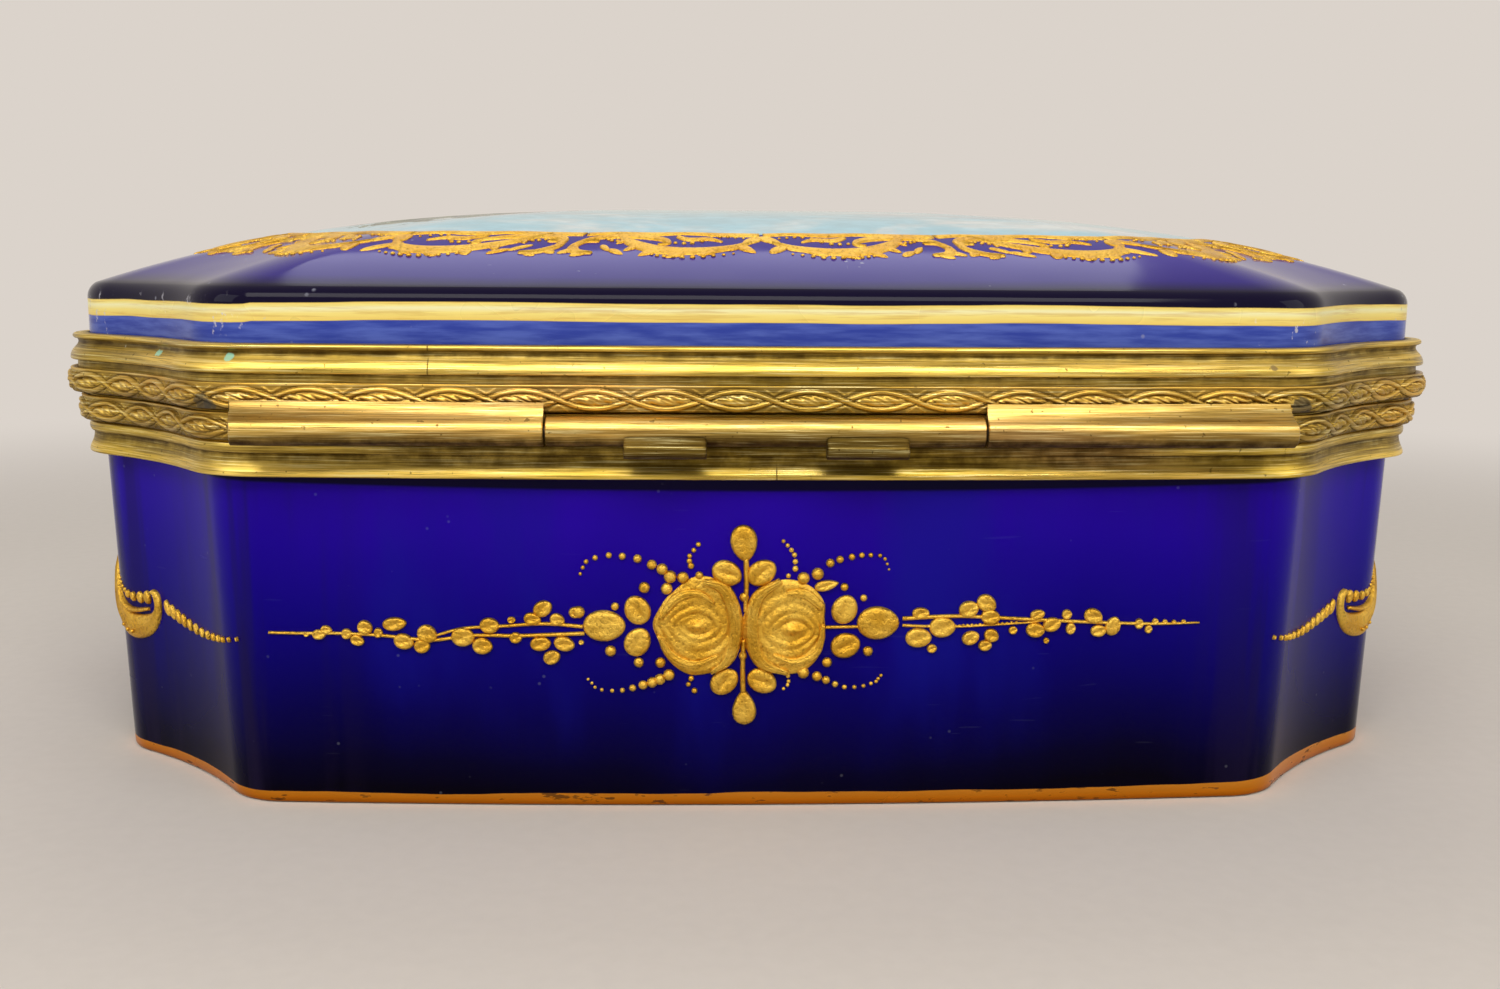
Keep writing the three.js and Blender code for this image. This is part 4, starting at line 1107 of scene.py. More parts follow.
def strip_unit(height):
    """Two lenses, flat: x in lenses, z up, with the surface height y split into a base and a relief."""
    s = np.linspace(0, 2, 2 * CELL_COLUMNS + 1)
    t = np.linspace(0, 1, STRIP_ROWS + 1)
    grid_s, grid_t = np.meshgrid(s, t)
    crown = np.sin(np.pi * grid_t)
    relief = guilloche(grid_s, grid_t)
    reach = STRIP_CROWN * (0.25 + 0.75 * crown**0.5)
    base_y = STRIP_EDGE * 0.8 + reach * 0.08
    front = np.stack([grid_s, base_y, grid_t * height], -1)
    back = [np.stack([s, np.zeros_like(s), np.full_like(s, z)], -1) for z in (height, 0)]
    rows = np.concatenate([front, np.array(back)])
    relief_rows = np.concatenate([relief * reach * 1.07, np.zeros((2, len(s)))])
    # Dirt and painted shade in the grooves, and painted shade along the strip's lower edge
    groove_dirt_and_shade = np.clip(1.3 - 2.4 * relief, 0, 1) + 0.35 * smooth(0.12, 0.0, grid_t)
    hollow_rows = np.concatenate([np.clip(groove_dirt_and_shade, 0, 1), np.zeros((2, len(s)))])
    return rows_mesh("lenses", rows, closed=False, joined=True, values={"relief": relief_rows, "hollow": hollow_rows})


print("relief runs from", round(float(guilloche(np.array([0.5]), np.array([0.5]))[0]), 2), "in a lens")


# %% Build the tree that lays the lenses along an outline
def strip_tree():
    inputs = {"Outline": "Object", "Lens Pitch": "Float", "Lens Count": "Int", "Join": "Float"}
    tree = Tree("stamped_strip", inputs)
    given, pitch = tree.given, tree.given["Lens Pitch"]
    # A row of lenses, two to an instance
    step = tree.xyz(X=tree.math("MULTIPLY", pitch, 2.0))
    line = tree.add("GeometryNodeMeshLine", Count=tree.math("DIVIDE", given["Lens Count"], 2.0), Offset=step)
    size = tree.xyz(X=pitch, Y=1.0, Z=1.0)
    row = tree.add("GeometryNodeInstanceOnPoints", Points=line, Instance=given["Geometry"], Scale=size)
    real = tree.add("GeometryNodeRealizeInstances", Geometry=row)
    at = tree.add("ShaderNodeSeparateXYZ", Vector=tree.add("GeometryNodeInputPosition")).outputs
    stored = {"data_type": "FLOAT2", "domain": "CORNER"}
    where = tree.xyz(X=at["X"], Y=at["Z"])
    mapped = tree.add("GeometryNodeStoreNamedAttribute", stored, Geometry=real, Name="round", Value=where)
    # Each point moves to its length along the outline, and out by its height, worn as the radius says
    outline = tree.add("GeometryNodeObjectInfo", {"transform_space": "ORIGINAL"}, Object=given["Outline"])
    wear = tree.add("GeometryNodeInputRadius")
    curves = outline.outputs["Geometry"]
    sample = tree.add("GeometryNodeSampleCurve", {"mode": "LENGTH"}, Curves=curves, Value=wear, Length=at["X"]).outputs
    lift = tree.math("ADD", tree.math("MULTIPLY", tree.named("relief"), sample["Value"]), at["Y"])
    out = tree.vector("NORMALIZE", tree.vector("CROSS_PRODUCT", tree.xyz(Z=1.0), _1=sample["Tangent"]))
    place = tree.vector("ADD", sample["Position"], _1=tree.vector("SCALE", out, Scale=lift))
    place = tree.vector("ADD", place, _1=tree.xyz(Z=at["Z"]))
    bent = tree.add("GeometryNodeSetPosition", Geometry=mapped, Position=place)
    return tree.close(tree.add("GeometryNodeMergeByDistance", Geometry=bent, Distance=given["Join"]), STAMPED_BRASS)


OUTLINE_POINTS = 1400
RUBBED_AWAY = 0.32  # of the relief, along the long sides
LENS_LENGTH = 12.6 * MM
JOIN_DISTANCE = 0.02 * MM


def outline_curve(name, offset, z, start, end, closed):
    """A curve along the box from u = start to u = end. Its radius says how much relief is left there."""
    stations = np.linspace(start, end, OUTLINE_POINTS, endpoint=not closed)
    x, y, out_x, out_y = station(stations)
    curve = bpy.data.curves.new(name, "CURVE")
    curve.dimensions = "3D"
    spline = curve.splines.new("POLY")
    spline.points.add(len(stations) - 1)
    at_x, at_y = x + out_x * offset + MIDDLE[0], y + out_y * offset + MIDDLE[1]
    points = np.stack([at_x, at_y, np.full_like(x, z), np.ones_like(x)], -1)
    spline.points.foreach_set("co", points.ravel())
    rubbed = smooth(LONG_SIDE_RUN + 2 * MM, LONG_SIDE_RUN - 14 * MM, np.abs(x))
    spline.points.foreach_set("radius", 1 - RUBBED_AWAY * rubbed)
    spline.use_cyclic_u = closed
    made = bpy.data.objects.new(name, curve)
    length = float(np.sum(np.hypot(np.diff(at_x), np.diff(at_y))))
    if closed:
        length += math.hypot(at_x[0] - at_x[-1], at_y[0] - at_y[-1])
    return made, length


STRIP_TREE = strip_tree()


def stamped_strip(name, offset, low, high, start, end, body, node):
    closed = end - start > GIRTH - 1e-6
    outline, length = outline_curve(name + "_outline", offset, low, start, end, closed)
    count = 2 * round(length / LENS_LENGTH / 2)
    values = {"Outline": outline, "Lens Pitch": length / count, "Lens Count": count, "Join": JOIN_DISTANCE}
    mesh = run_tree(name, STRIP_TREE, strip_unit(high - low), values)
    show(name, mesh, body, [], node)
    bpy.data.objects.remove(outline)
    print(name, "has", count, "lenses")


LENS_START = -1.3 * MM  # puts a lens where the photograph shows one, on the middle of the back
lid_run = (LENS_START, LENS_START + GIRTH)
stamped_strip("lid_strip", 3.6 * MM, 75.2 * MM, 80.0 * MM, *lid_run, "lid", "lid_guilloche_strip")
HINGE_END = 94.65 * MM
near_end = float(np.interp(HINGE_END, PLAN[: BOW_STEPS + 6, 0], ALONG[: BOW_STEPS + 6]))
base_run = (near_end, GIRTH - near_end)
stamped_strip("base_strip", 1.9 * MM, 69.5 * MM, 74.5 * MM, *base_run, "base", "base_guilloche_strip")

# %% [markdown]
# ## The hinge
# Three lengths of brass tube turn on one wire. The two long ones are soldered to the lid's mount with a
# fillet that laps up over the strip, and the middle one to the base. The mount bows while the barrel is
# straight, so the section of tube and fillet changes along the hinge. It is drawn every few millimetres
# and skinned, with a bore down the middle for the wire.

# %% Make the three knuckles
BARREL_RADIUS = 2.65 * MM
BARREL_HALF = 94.3 * MM
CENTRE_HALF = 39 * MM
PIN_RADIUS = 1.15 * MM
BORE_RADIUS = PIN_RADIUS + 0.3 * MM
HINGE_Z = 71.95 * MM
HINGE_Y = HALF_DEPTH + 5.2 * MM + MIDDLE[1]
KNUCKLE_PLAY = 0.35 * MM


def curve_between(start, bend, end, steps):
    """Points on a quadratic curve, with both ends."""
    t = np.linspace(0, 1, steps)[:, None]
    start, bend, end = (np.asarray(p, float) for p in (start, bend, end))
    return (1 - t) ** 2 * start + 2 * t * (1 - t) * bend + t**2 * end


def tube_arc(radius, start, end, steps):
    """Points round the barrel in the Y, Z plane, in degrees from straight back and turning upwards."""
    angles = np.radians(np.linspace(start, end, steps))
    return np.stack([HINGE_Y + radius * np.cos(angles), HINGE_Z + radius * np.sin(angles)], -1)


def lid_knuckle_section(x, radius):
    """Round under the barrel, then up the fillet to the strip and back along the mount's lower face."""
    strip_face = back_reach(x, 5.5 * MM) + GAP
    lap_top = 77.0 * MM
    under = LID_Z - GAP
    front = tube_arc(radius, -222, 38, 46)
    lap = curve_between(front[-1], (strip_face + 0.55 * MM, 75.0 * MM), (strip_face + 0.12 * MM, lap_top), 12)[1:]
    rest = [
        (strip_face, lap_top - 0.1 * MM),
        (strip_face, under),
        (max(back_reach(x, 2.0 * MM) + GAP, front[0][0] - 1.2 * MM), under),
    ]
    return np.vstack([front, lap, rest])


def centre_knuckle_section(x, radius):
    """Round the back of the barrel, with a web that reaches in to the flat band of the base mount."""
    band = back_reach(x, 1.6 * MM) + GAP
    front = tube_arc(radius, -116, 116, 46)
    return np.vstack([front, [(band, 74.1 * MM), (band, 71.9 * MM), (band, 69.7 * MM)]])


def hoop(x, radius, turns):
    """A loop round the hinge axis at x."""
    return np.stack(
        [np.full(len(turns), x), HINGE_Y + radius * np.cos(turns), HINGE_Z + radius * np.sin(turns)], -1
    )


def turn_uv(mesh):
    """Swaps the two ways of the UV, for a piece whose rings are laid one after another along x."""
    layer = np.empty(len(mesh.loops) * 2)
    mesh.uv_layers[0].data.foreach_get("uv", layer)
    mesh.uv_layers[0].data.foreach_set("uv", layer.reshape(-1, 2)[:, ::-1].ravel())


def knuckle(name, start, end, section, body, node, slant=0.0):
    """A tube with its web. A slant cuts its far end askew, shorter at the back, and leaves that cut grey."""
    chamfer = 0.2 * MM
    stations = np.concatenate([[start + 0.02 * MM], np.linspace(start + chamfer, end - chamfer, 34), [end - 0.02 * MM]])
    loops = []
    for i, x in enumerate(stations):
        outer = section(x, BARREL_RADIUS - (chamfer if i in (0, len(stations) - 1) else 0))
        loops.append(np.column_stack([np.full(len(outer), x), outer]))
    turn = np.arctan2(loops[0][:, 2] - HINGE_Z, loops[0][:, 1] - HINGE_Y)
    for x, place in ((start, 0), (end, len(loops) + 1)):
        loops.insert(place, hoop(x, BORE_RADIUS, turn))
    rows = np.array(loops)
    for i in (-3, -2, -1):
        rows[i, :, 0] -= slant * np.clip((rows[i, :, 1] - HINGE_Y + BARREL_RADIUS) / (2 * BARREL_RADIUS), 0, 1)
    # Painted shade on the lower half of each barrel
    low = smooth(-0.15, 0.75, (HINGE_Z - rows[:, :, 2]) / BARREL_RADIUS)
    painted = np.zeros(len(rows), int)
    painted[-2] = 1 if slant else 0
    mesh = rows_mesh(name, rows, joined=True, values={"hollow": low}, painted=painted)
    turn_uv(mesh)
    show(name, mesh, body, [HINGE_BRASS, STEEL], node, sharp=35)
    print(name, "is", round((end - start) / MM, 1), "mm long")


inner = CENTRE_HALF - KNUCKLE_PLAY
knuckle("knuckle_centre", -inner, inner, centre_knuckle_section, "base", "hinge_knuckle_centre")
knuckle("knuckle_left", CENTRE_HALF, BARREL_HALF, lid_knuckle_section, "lid", "hinge_knuckle_left", 1.3 * MM)
knuckle("knuckle_right", -BARREL_HALF, -CENTRE_HALF, lid_knuckle_section, "lid", "hinge_knuckle_right")

# %% [markdown]
# The stop lugs under the middle barrel were filed by hand: a flat sloping face on top for the open lid
# to rest on, a rounded front below. The pin is a plain wire, cut a little short of the barrel's ends.

# %% Make the stop lugs and the pin
def lug_section():
    hug = BARREL_RADIUS + GAP
    reach, nose_low, bottom = 4.6 * MM, -2.75 * MM, -4.6 * MM
    top_turn = math.degrees(math.asin(0.75 * MM / hug))
    hollow = tube_arc(hug, -72, -top_turn, 12)
    turns = np.radians(np.linspace(0, 115, 16))
    belly = np.stack(
        [HINGE_Y + reach - 2.4 * MM * (1 - np.cos(turns)), HINGE_Z + nose_low + (bottom - nose_low) * np.sin(turns)], -1
    )
    edge = [(HINGE_Y + reach - 0.5 * MM, HINGE_Z - 1.97 * MM), (HINGE_Y + reach - 0.14 * MM, HINGE_Z - 2.17 * MM)]
    return np.vstack([hollow, edge, [(HINGE_Y + reach - 0.02 * MM, HINGE_Z - 2.42 * MM)], belly])


def lug_dirt_and_shade(section):
    """Grey-brown on the filed face, clean along its worn edge, with painted shade underneath and in the hollow against
    the barrel.
    """
    back, depth = section[:, 0] - HINGE_Y, HINGE_Z - section[:, 1]
    face = 0.25 * smooth(2.1 * MM, 1.9 * MM, depth)
    under = smooth(3.0 * MM, 4.5 * MM, depth)
    return np.clip(np.maximum(face, under) + 0.5 * smooth(3.4 * MM, 2.2 * MM, back), 0, 1)


def stop_lug(name, start, end, node):
    section = lug_section()
    middle = section.mean(axis=0)
    inner = np.array([HINGE_Y + 1.2 * MM, HINGE_Z - 2.6 * MM])
    loops = []
    for step, drawn in ((0, 0.8), (0.1, 0.88), (0.3, 0.945), (0.65, 0.98), (1.2, 0.995), (2.0, 1)):
        shape = np.where(section > inner, inner + (section - inner) * drawn, section)
        shape = shape if step else middle + (shape - middle) * 0.96
        loops.append((start + step * MM, shape))
        loops.append((end - step * MM, shape))
    loops.sort(key=lambda loop: loop[0])
    rows = [np.column_stack([np.full(len(section), x), shape]) for x, shape in loops]
    mesh = rows_mesh(name, rows, values={"hollow": lug_dirt_and_shade(section)})
    turn_uv(mesh)
    show(name, mesh, "base", [LUG_BRASS], node, sharp=38)


stop_lug("lug_left", 10.5 * MM, 25 * MM, "stop_lug_left")
stop_lug("lug_right", -25 * MM, -10.5 * MM, "stop_lug_right")

PIN_SHORTER = 1 * MM  # at each end than the barrel
pin_end = BARREL_HALF - PIN_SHORTER
tip = [(-pin_end, 0.5), (-pin_end + 0.1 * MM, 0.9), (-pin_end + 0.3 * MM, 1)]
pin_rows = tip + [(-x, share) for x, share in reversed(tip)]
turns = np.linspace(0, 2 * np.pi, 28, endpoint=False)
pin_mesh = rows_mesh("pin", [hoop(x, share * PIN_RADIUS, turns) for x, share in pin_rows])
show("pin", pin_mesh, "base", [STEEL], "hinge_pin")
print("pin is", round(2 * pin_end / MM, 1), "mm long")

# %% [markdown]
# ## Raised gold
# The garland on each long side is raised paste: a stiff slip laid on with a brush, fired, gilded and
# fired again. Every touch of the brush is its own small mound with a soft edge, so the garland is
# built as mounds, strokes and beads laid on the bowl's surface, and not as one carved relief.

# %% Helpers that lay paste on a surface
def on_bowl(u, z, lift):
    """Points on the bowl's outside at u round the box and z up, raised by lift."""
    x, y, out_x, out_y = station(u)
    out = bowl_offset(z) + lift
    return np.stack([x + out_x * out + MIDDLE[0], y + out_y * out + MIDDLE[1], z + 0 * x], -1)


def on_dome(u, inward, lift):
    """Points on the dome, inward from the shoulder as measured on a long side."""
    share = 1 - inward / HALF_DEPTH
    x, y, out_x, out_y = station(u)
    at_x, at_y = (x + out_x * DOME_OFFSET) * share, (y + out_y * DOME_OFFSET) * share
    return np.stack([at_x + MIDDLE[0], at_y + MIDDLE[1], dome_height(share) + lift + 0 * x], -1)


def smooth_path(points, steps):
    """A smooth line through the given points, and their other values, in even steps."""
    points = np.asarray(points, float)
    padded = np.vstack([2 * points[0] - points[1], points, 2 * points[-1] - points[-2]])
    t = np.linspace(0, len(points) - 1 - 1e-9, steps)
    i = t.astype(int)
    f = (t - i)[:, None]
    a, b, c, d = (padded[i + k] for k in range(4))
    return 0.5 * (2 * b + (c - a) * f + (2 * a - 5 * b + 4 * c - d) * f**2 + (3 * b - a - 3 * c + d) * f**3)


def flipped(points, side):
    """The points as they are where side is 1, and turned over along the line where it is -1."""
    return [(side * a, *rest) for a, *rest in points]


MOUND = ((1, -0.25), (1, 0.18), (0.96, 0.5), (0.87, 0.78), (0.72, 0.95), (0.5, 1), (0.28, 0.97), (0.08, 0.94))


class Paste:
    """Small raised pieces of gold gathered in one mesh, laid on a surface(a, b, lift)."""

    def __init__(self):
        self.points, self.faces = [], []

    def skin(self, rows):
        rows = np.asarray(rows)
        count, width = rows.shape[:2]
        first = len(self.points)
        self.points += rows.reshape(-1, 3).tolist()
        at = lambda r, c: first + r * width + c % width
        for r in range(count - 1):
            self.faces += [(at(r, c), at(r, c + 1), at(r + 1, c + 1), at(r + 1, c)) for c in range(width)]
        self.faces.append(tuple(at(0, c) for c in reversed(range(width))))
        self.faces.append(tuple(at(count - 1, c) for c in range(width)))

    def mound(self, surface, a, b, length, width, turn=0, point=0.0, height=0.8, vein=0.25, ribs=0.0):
        """An oval or a drop, sizes in mm and turn in degrees. A point above 0 draws its far end sharp."""
        around = np.linspace(0, 2 * np.pi, 22, endpoint=False)
        x, y = np.cos(around), np.sin(around) * np.abs(np.sin(around / 2)) ** point
        cos, sin = math.cos(math.radians(turn)), math.sin(math.radians(turn))
        rows = []
        for share, level in MOUND:
            along, across = x * share, y * share
            groove = vein * np.exp(-(((across - 0.25 * along) / 0.22) ** 2)) * smooth(1, 0.5, np.abs(along))
            ridged = ribs * np.cos(9 * across) * smooth(1, 0.6, np.abs(along))
            lift = height * MM * np.where(share < 0.9, level - groove + ridged, level)
            dx, dy = along * length / 2, across * width / 2
            rows.append(surface((a + dx * cos - dy * sin) * MM, (b + dx * sin + dy * cos) * MM, lift))
        self.skin(rows)

    def stroke(self, surface, path, height=0.7, steps=26, lines=0):
        """A brush stroke through points (a, b, width) in mm. Lines are ridges that run along it."""
        line = smooth_path(path, steps)
        way = np.gradient(line[:, :2], axis=0)
        way /= np.maximum(np.linalg.norm(way, axis=1, keepdims=True), 1e-9)
        w = np.sin(np.linspace(-np.pi / 2, np.pi / 2, 7 + 6 * (lines > 0)))
        top = np.sqrt(np.clip(1 - w**2, 0, 1))
        top = top * (1 + 0.22 * np.cos(lines * np.pi * w)) if lines else top
        w, top = np.concatenate([[-1], w, [1]]), np.concatenate([[-0.25], top + 0.05, [-0.25]])
        half = np.maximum(line[:, 2], 0.12)[:, None] / 2
        a = line[:, :1] - way[:, 1:] * w * half
        b = line[:, 1:2] + way[:, :1] * w * half
        lift = top * height * MM * np.minimum(1, 0.35 + half * 1.4)
        self.skin(surface(a * MM, b * MM, lift))

    def rose(self, surface, a, b, outline, height=1.0, hand=1):
        """A rose seen from above: brush swirls round a small eye, inside an outline of (degrees, mm)."""
        around = np.linspace(0, 2 * np.pi, 80, endpoint=False)
        angles = np.radians([d for d, _ in outline] + [outline[0][0] + 360])
        reach = np.interp(around, angles, [r for _, r in outline] + [outline[0][1]], period=2 * np.pi)
        reach = np.convolve(np.tile(reach, 3), np.ones(3) / 3, "same")[80:160]
        # The swirls close in on an eye that is wider than it is high
        oval = 8.6 / np.sqrt(np.cos(around) ** 2 / 1.3**2 + np.sin(around) ** 2 / 0.66**2)
        rows = [surface((a + reach * np.cos(around)) * MM, (b + reach * np.sin(around)) * MM, 0 * around - 0.2 * MM)]
        for share in np.linspace(1, 0.02, 48):
            swirl = share * 5.2 - hand * around / (2 * np.pi)
            ridge = (0.5 + 0.5 * np.cos(2 * np.pi * swirl)) ** 0.6
            side = smooth(1, 0.93, share)
            eye = 0.8 * math.exp(-((share / 0.13) ** 2)) - 0.25 * math.exp(-(((share - 0.26) / 0.08) ** 2))
            groove = (0.2 + 0.08 * np.cos(2 * around + 1)) * ridge * smooth(0.12, 0.3, share)
            lift = height * (0.22 + side * (0.24 + groove + 0.16 * (1 - share)) + eye)
            spread = share * (share * reach + (1 - share) * oval)
            at_a, at_b = a + spread * np.cos(around), b + spread * np.sin(around)
            rows.append(surface(at_a * MM, at_b * MM, lift * MM))
        self.skin(rows)

    def make(self, name, body, material=None):
        mesh = bpy.data.meshes.new(name)
        mesh.from_pydata(self.points, [], self.faces)
        return show(name, mesh, body, [material or RAISED_GOLD])


print("paste helpers ready")

# %% [markdown]
# The hundreds of gold dots are the clearest case for Geometry Nodes: a point for each dot carries its
# radius and the direction it faces, and the tree puts a small low-sided ball on each. The strings are
# drawn as smooth lines whose dots swell and shrink, with a slight unevenness from a fixed seed.

# %% Build the tree that sets dots of gold
def dot_tree():
    tree = Tree("gold_dots", {"Dot Sides": "Int", "Dot Rings": "Int"})
    given = tree.given
    ball = tree.add("GeometryNodeMeshUVSphere", Segments=given[1], Rings=given[2], Radius=1.0)
    radius = tree.named("dot_radius")
    facing = tree.named("dot_facing", "FLOAT_VECTOR")
    turn = tree.add("FunctionNodeAlignRotationToVector", {"axis": "Z"}, Vector=facing)
    size = tree.xyz(X=radius, Y=radius, Z=tree.math("MULTIPLY", radius, 0.85))
    inputs = {"Points": given["Geometry"], "Instance": ball, "Rotation": turn, "Scale": size}
    return tree.close(tree.add("GeometryNodeInstanceOnPoints", **inputs), RAISED_GOLD)


DOT_TREE = dot_tree()
HAND = random.Random(11)


class Dots:
    """Dots of gold gathered for one body."""

    def __init__(self):
        self.places, self.radii, self.facings = [], [], []

    def dot(self, surface, a, b, radius):
        a, b = np.array([a * MM]), np.array([b * MM])
        here = surface(a, b, 0.0)[0]
        out = surface(a, b, 1 * MM)[0] - here
        self.places.append(here + out * radius * 0.12)
        self.radii.append(radius * MM)
        self.facings.append(out / np.linalg.norm(out))

    def string(self, surface, path, count):
        """A string of dots through points (a, b, radius) in mm."""
        for a, b, radius in smooth_path(path, count):
            wander = 0.18 * radius
            self.dot(surface, a + HAND.uniform(-wander, wander), b + HAND.uniform(-wander, wander), max(radius, 0.22))

    def make(self, name, body):
        points = bpy.data.meshes.new(name + "_points")
        points.from_pydata([tuple(p) for p in self.places], [], [])
        points.attributes.new("dot_radius", "FLOAT", "POINT").data.foreach_set("value", self.radii)
        facing = points.attributes.new("dot_facing", "FLOAT_VECTOR", "POINT")
        facing.data.foreach_set("vector", np.array(self.facings, np.float32).ravel())
        mesh = run_tree(name, DOT_TREE, points, {"Dot Sides": 10, "Dot Rings": 5})
        made = finish_mesh(name, mesh, body, [])
        print(name, "has", len(self.places), "dots")
        return made


# %% [markdown]
# ## The garland
# A pair of roses, leaves in a cross above and below, a bud on each side and a leafy branch that thins
# out towards each corner. Strings of dots curl away from the roses. The same garland is painted on the
# front, where it is partly guesswork because the photograph doesn't show that side.

# %% Lay the roses, leaves and branches
# A rose's outline is (degrees, reach in mm). Every other table is in mm from the middle of the garland.
ROSE_LEFT = [
    (0, 7.9), (40, 8.6), (75, 9.6), (95, 9.2), (120, 7.8), (155, 7.6),
    (178, 8.3), (200, 7.6), (235, 8.6), (262, 9.6), (300, 9.3), (330, 8.6),
]
ROSE_RIGHT = [
    (0, 5.9), (22, 6.2), (40, 7.6), (62, 8.6), (95, 9.6), (115, 9.9),
    (150, 9.6), (180, 9.6), (215, 9.4), (250, 9.0), (285, 8.2), (325, 6.6),
]
# Outer petals laid over the swirls, as (points, height, steps, lines)
PETALS = [
    ([(-7.4, 8.8, 1.2), (-3.6, 7.2, 2.6), (-1.5, 1, 2.9), (-2.6, -5.6, 2.4), (-6, -8.6, 0.9)], 1.3, 34, 4),
    ([(-15.6, 1.6, 0.8), (-12.4, 5.6, 2), (-8.6, 6.6, 1.6), (-5.4, 4.6, 0.7)], 1.1, 30, 3),
    ([(-15.8, -1.4, 0.8), (-13, -5.6, 2), (-9, -7, 1.8), (-4.6, -5.2, 0.7)], 1.1, 30, 3),
    ([(6.8, 8.9, 1.2), (2.6, 5.6, 2.6), (1.6, -0.6, 2.9), (3.2, -6.4, 2.6), (8.4, -8.8, 1)], 1.3, 34, 4),
    ([(8, 6.6, 1.2), (11.4, 6.4, 2.2), (14.6, 3.8, 1.6)], 1.15, 26, 3),
    ([(14.8, 0.6, 0.8), (13.6, -4.6, 1.8), (9.6, -6.6, 1.8), (5.6, -5.2, 0.7)], 1.1, 30, 3),
]
SMALL_LEAF = (0.1, 1.0, 0.35)
# Leaves in a cross and a bud on each side, as (along, up, length, width, turn, point, height, vein, ribs)
LEAVES = [
    (0, 15.9, 7, 5.6, -84, 0.35, 1.0),
    (0.2, -15.3, 7, 5.6, 92, 0.75, 0.95, 0.1),
    *[(*at, 5.9, 4.8, turn, *SMALL_LEAF) for *at, turn in
      ((-3.1, 10.3, -28), (3.3, 10.4, 34), (-3.5, -10.4, 40), (3.5, -10.3, -30))],
    *[(*at, 5.7, 5, turn, *SMALL_LEAF) for *at, turn in
      ((-19.6, 3.3, 115), (-19.6, -2.8, 60), (18.7, 3.4, 68), (19, -3.5, 15))],
    (-25.7, 0.3, 7.9, 6.2, 0, 0.1, 1.05, 0.1, 0.1),
    (25, 0.8, 8, 6.7, 0, 0.15, 1.05, 0.1, 0.1),
    (15.3, 8, 4.6, 2.4, 12, 0.5, 0.85),
]
STALKS = [
    ([(0.4, 13, 1.1), (0.5, 8, 1), (0.3, 3, 0.8)], 0.8),
    ([(0, -2.3, 0.9), (-0.1, -8, 1), (0, -12.4, 1.1)], 0.8),
    ([(15.2, 0, 0.7), (21.4, 0.1, 0.6)], 0.6),
]
# Strings of dots, as (how many, points of along, up and radius)
STRINGS = [
    (10, [(-30, 10.1, 0.35), (-28.6, 12.6, 0.5), (-23.5, 13.6, 0.65), (-17.5, 12.3, 0.95), (-13.6, 9.6, 1.25)]),
    (5, [(-8.3, 15.8, 0.5), (-9.9, 13.6, 0.5), (-9.7, 11.6, 0.65)]),
    (6, [(7.2, 16.3, 0.4), (9, 14.2, 0.5), (9.5, 11.2, 0.6)]),
    (9, [(26.8, 11, 0.25), (25.4, 13.4, 0.4), (21, 13.6, 0.6), (15.8, 12.3, 0.85)]),
    (11, [(-28.8, -10, 0.3), (-27, -11.8, 0.35), (-22.5, -12.1, 0.5), (-17.6, -10.8, 1), (-14, -9.2, 1.15)]),
    (10, [(25.8, -9.4, 0.35), (24, -11, 0.4), (19, -11.5, 0.5), (13.8, -9.4, 1)]),
    (3, [(-9.8, -9.8, 0.6), (-10.2, -11, 0.5), (-9, -12.1, 0.6)]),
    (4, [(8.3, -9.4, 0.45), (8.5, -10.8, 0.4), (7.6, -11.9, 0.35)]),
    (15, [(39.5, 0.1, 0.3), (45, 0.3, 0.34), (51, 0.7, 0.3)]),
]
LONE_DOTS = [
    (-11.2, 9.5, 1.15), (-18.3, 7.6, 1.1), (-14.2, 7.4, 1.15), (-23.7, 4, 0.8), (-30.4, 2.9, 1.2),
    (11, 9.4, 1.2), (13.6, 10.2, 1.2), (18.6, 7.7, 0.8), (22.2, 5.6, 0.7), (0.1, 5.8, 0.95),
    (-24.6, -4.5, 1.1), (-19.4, -6.7, 1), (-15.4, -6.7, 1.05), (11.2, -8.7, 1.15), (15.6, -6.7, 1),
    (23.2, -4.6, 1), (-0.1, -5.4, 0.85), (-8.2, 9.9, 0.8), (8.2, 9.8, 0.5),
]
# Each leaf of a branch is (along, up, length, width, turn), along counted out towards the corner
LEFT_LEAVES = [
    (30.5, 2.8, 2.2, 2.0, 0), (33.8, 1.4, 2.5, 2.2, 20), (36.4, 3.5, 3.3, 2.8, -30), (38.3, 1.5, 2.9, 2.3, 10),
    (29.5, -2.9, 0.9, 0.9, 0), (32.6, -3.2, 3.5, 2.6, 15), (36.9, -3.2, 3.5, 2.6, -5), (34.9, -5.8, 2.9, 2.5, -20),
    (41.4, -2.1, 2.1, 2.0, 0), (42.1, 1.3, 1.4, 1.2, 0), (46.1, 0.2, 3.3, 2.8, 5), (47.5, -3.7, 3.4, 3.0, 10),
    (51.0, -2.0, 3.9, 3.4, 0), (57.5, -1.4, 3.4, 3.2, 30), (58.5, -3.7, 2.7, 2.5, 0), (61.8, -2.7, 3.4, 2.8, 15),
    (63.4, 0.7, 4.0, 2.4, -5), (66.4, -0.9, 1.5, 1.8, 0), (68.8, 0.2, 2.6, 2.5, 30), (70.3, -2.2, 2.4, 1.9, 20),
    (72.2, -0.9, 1.8, 1.9, 0), (75.9, 0.0, 1.9, 1.5, 10), (77.3, -0.9, 2.3, 1.8, 0), (79.6, -0.8, 1.0, 0.9, 0),
]
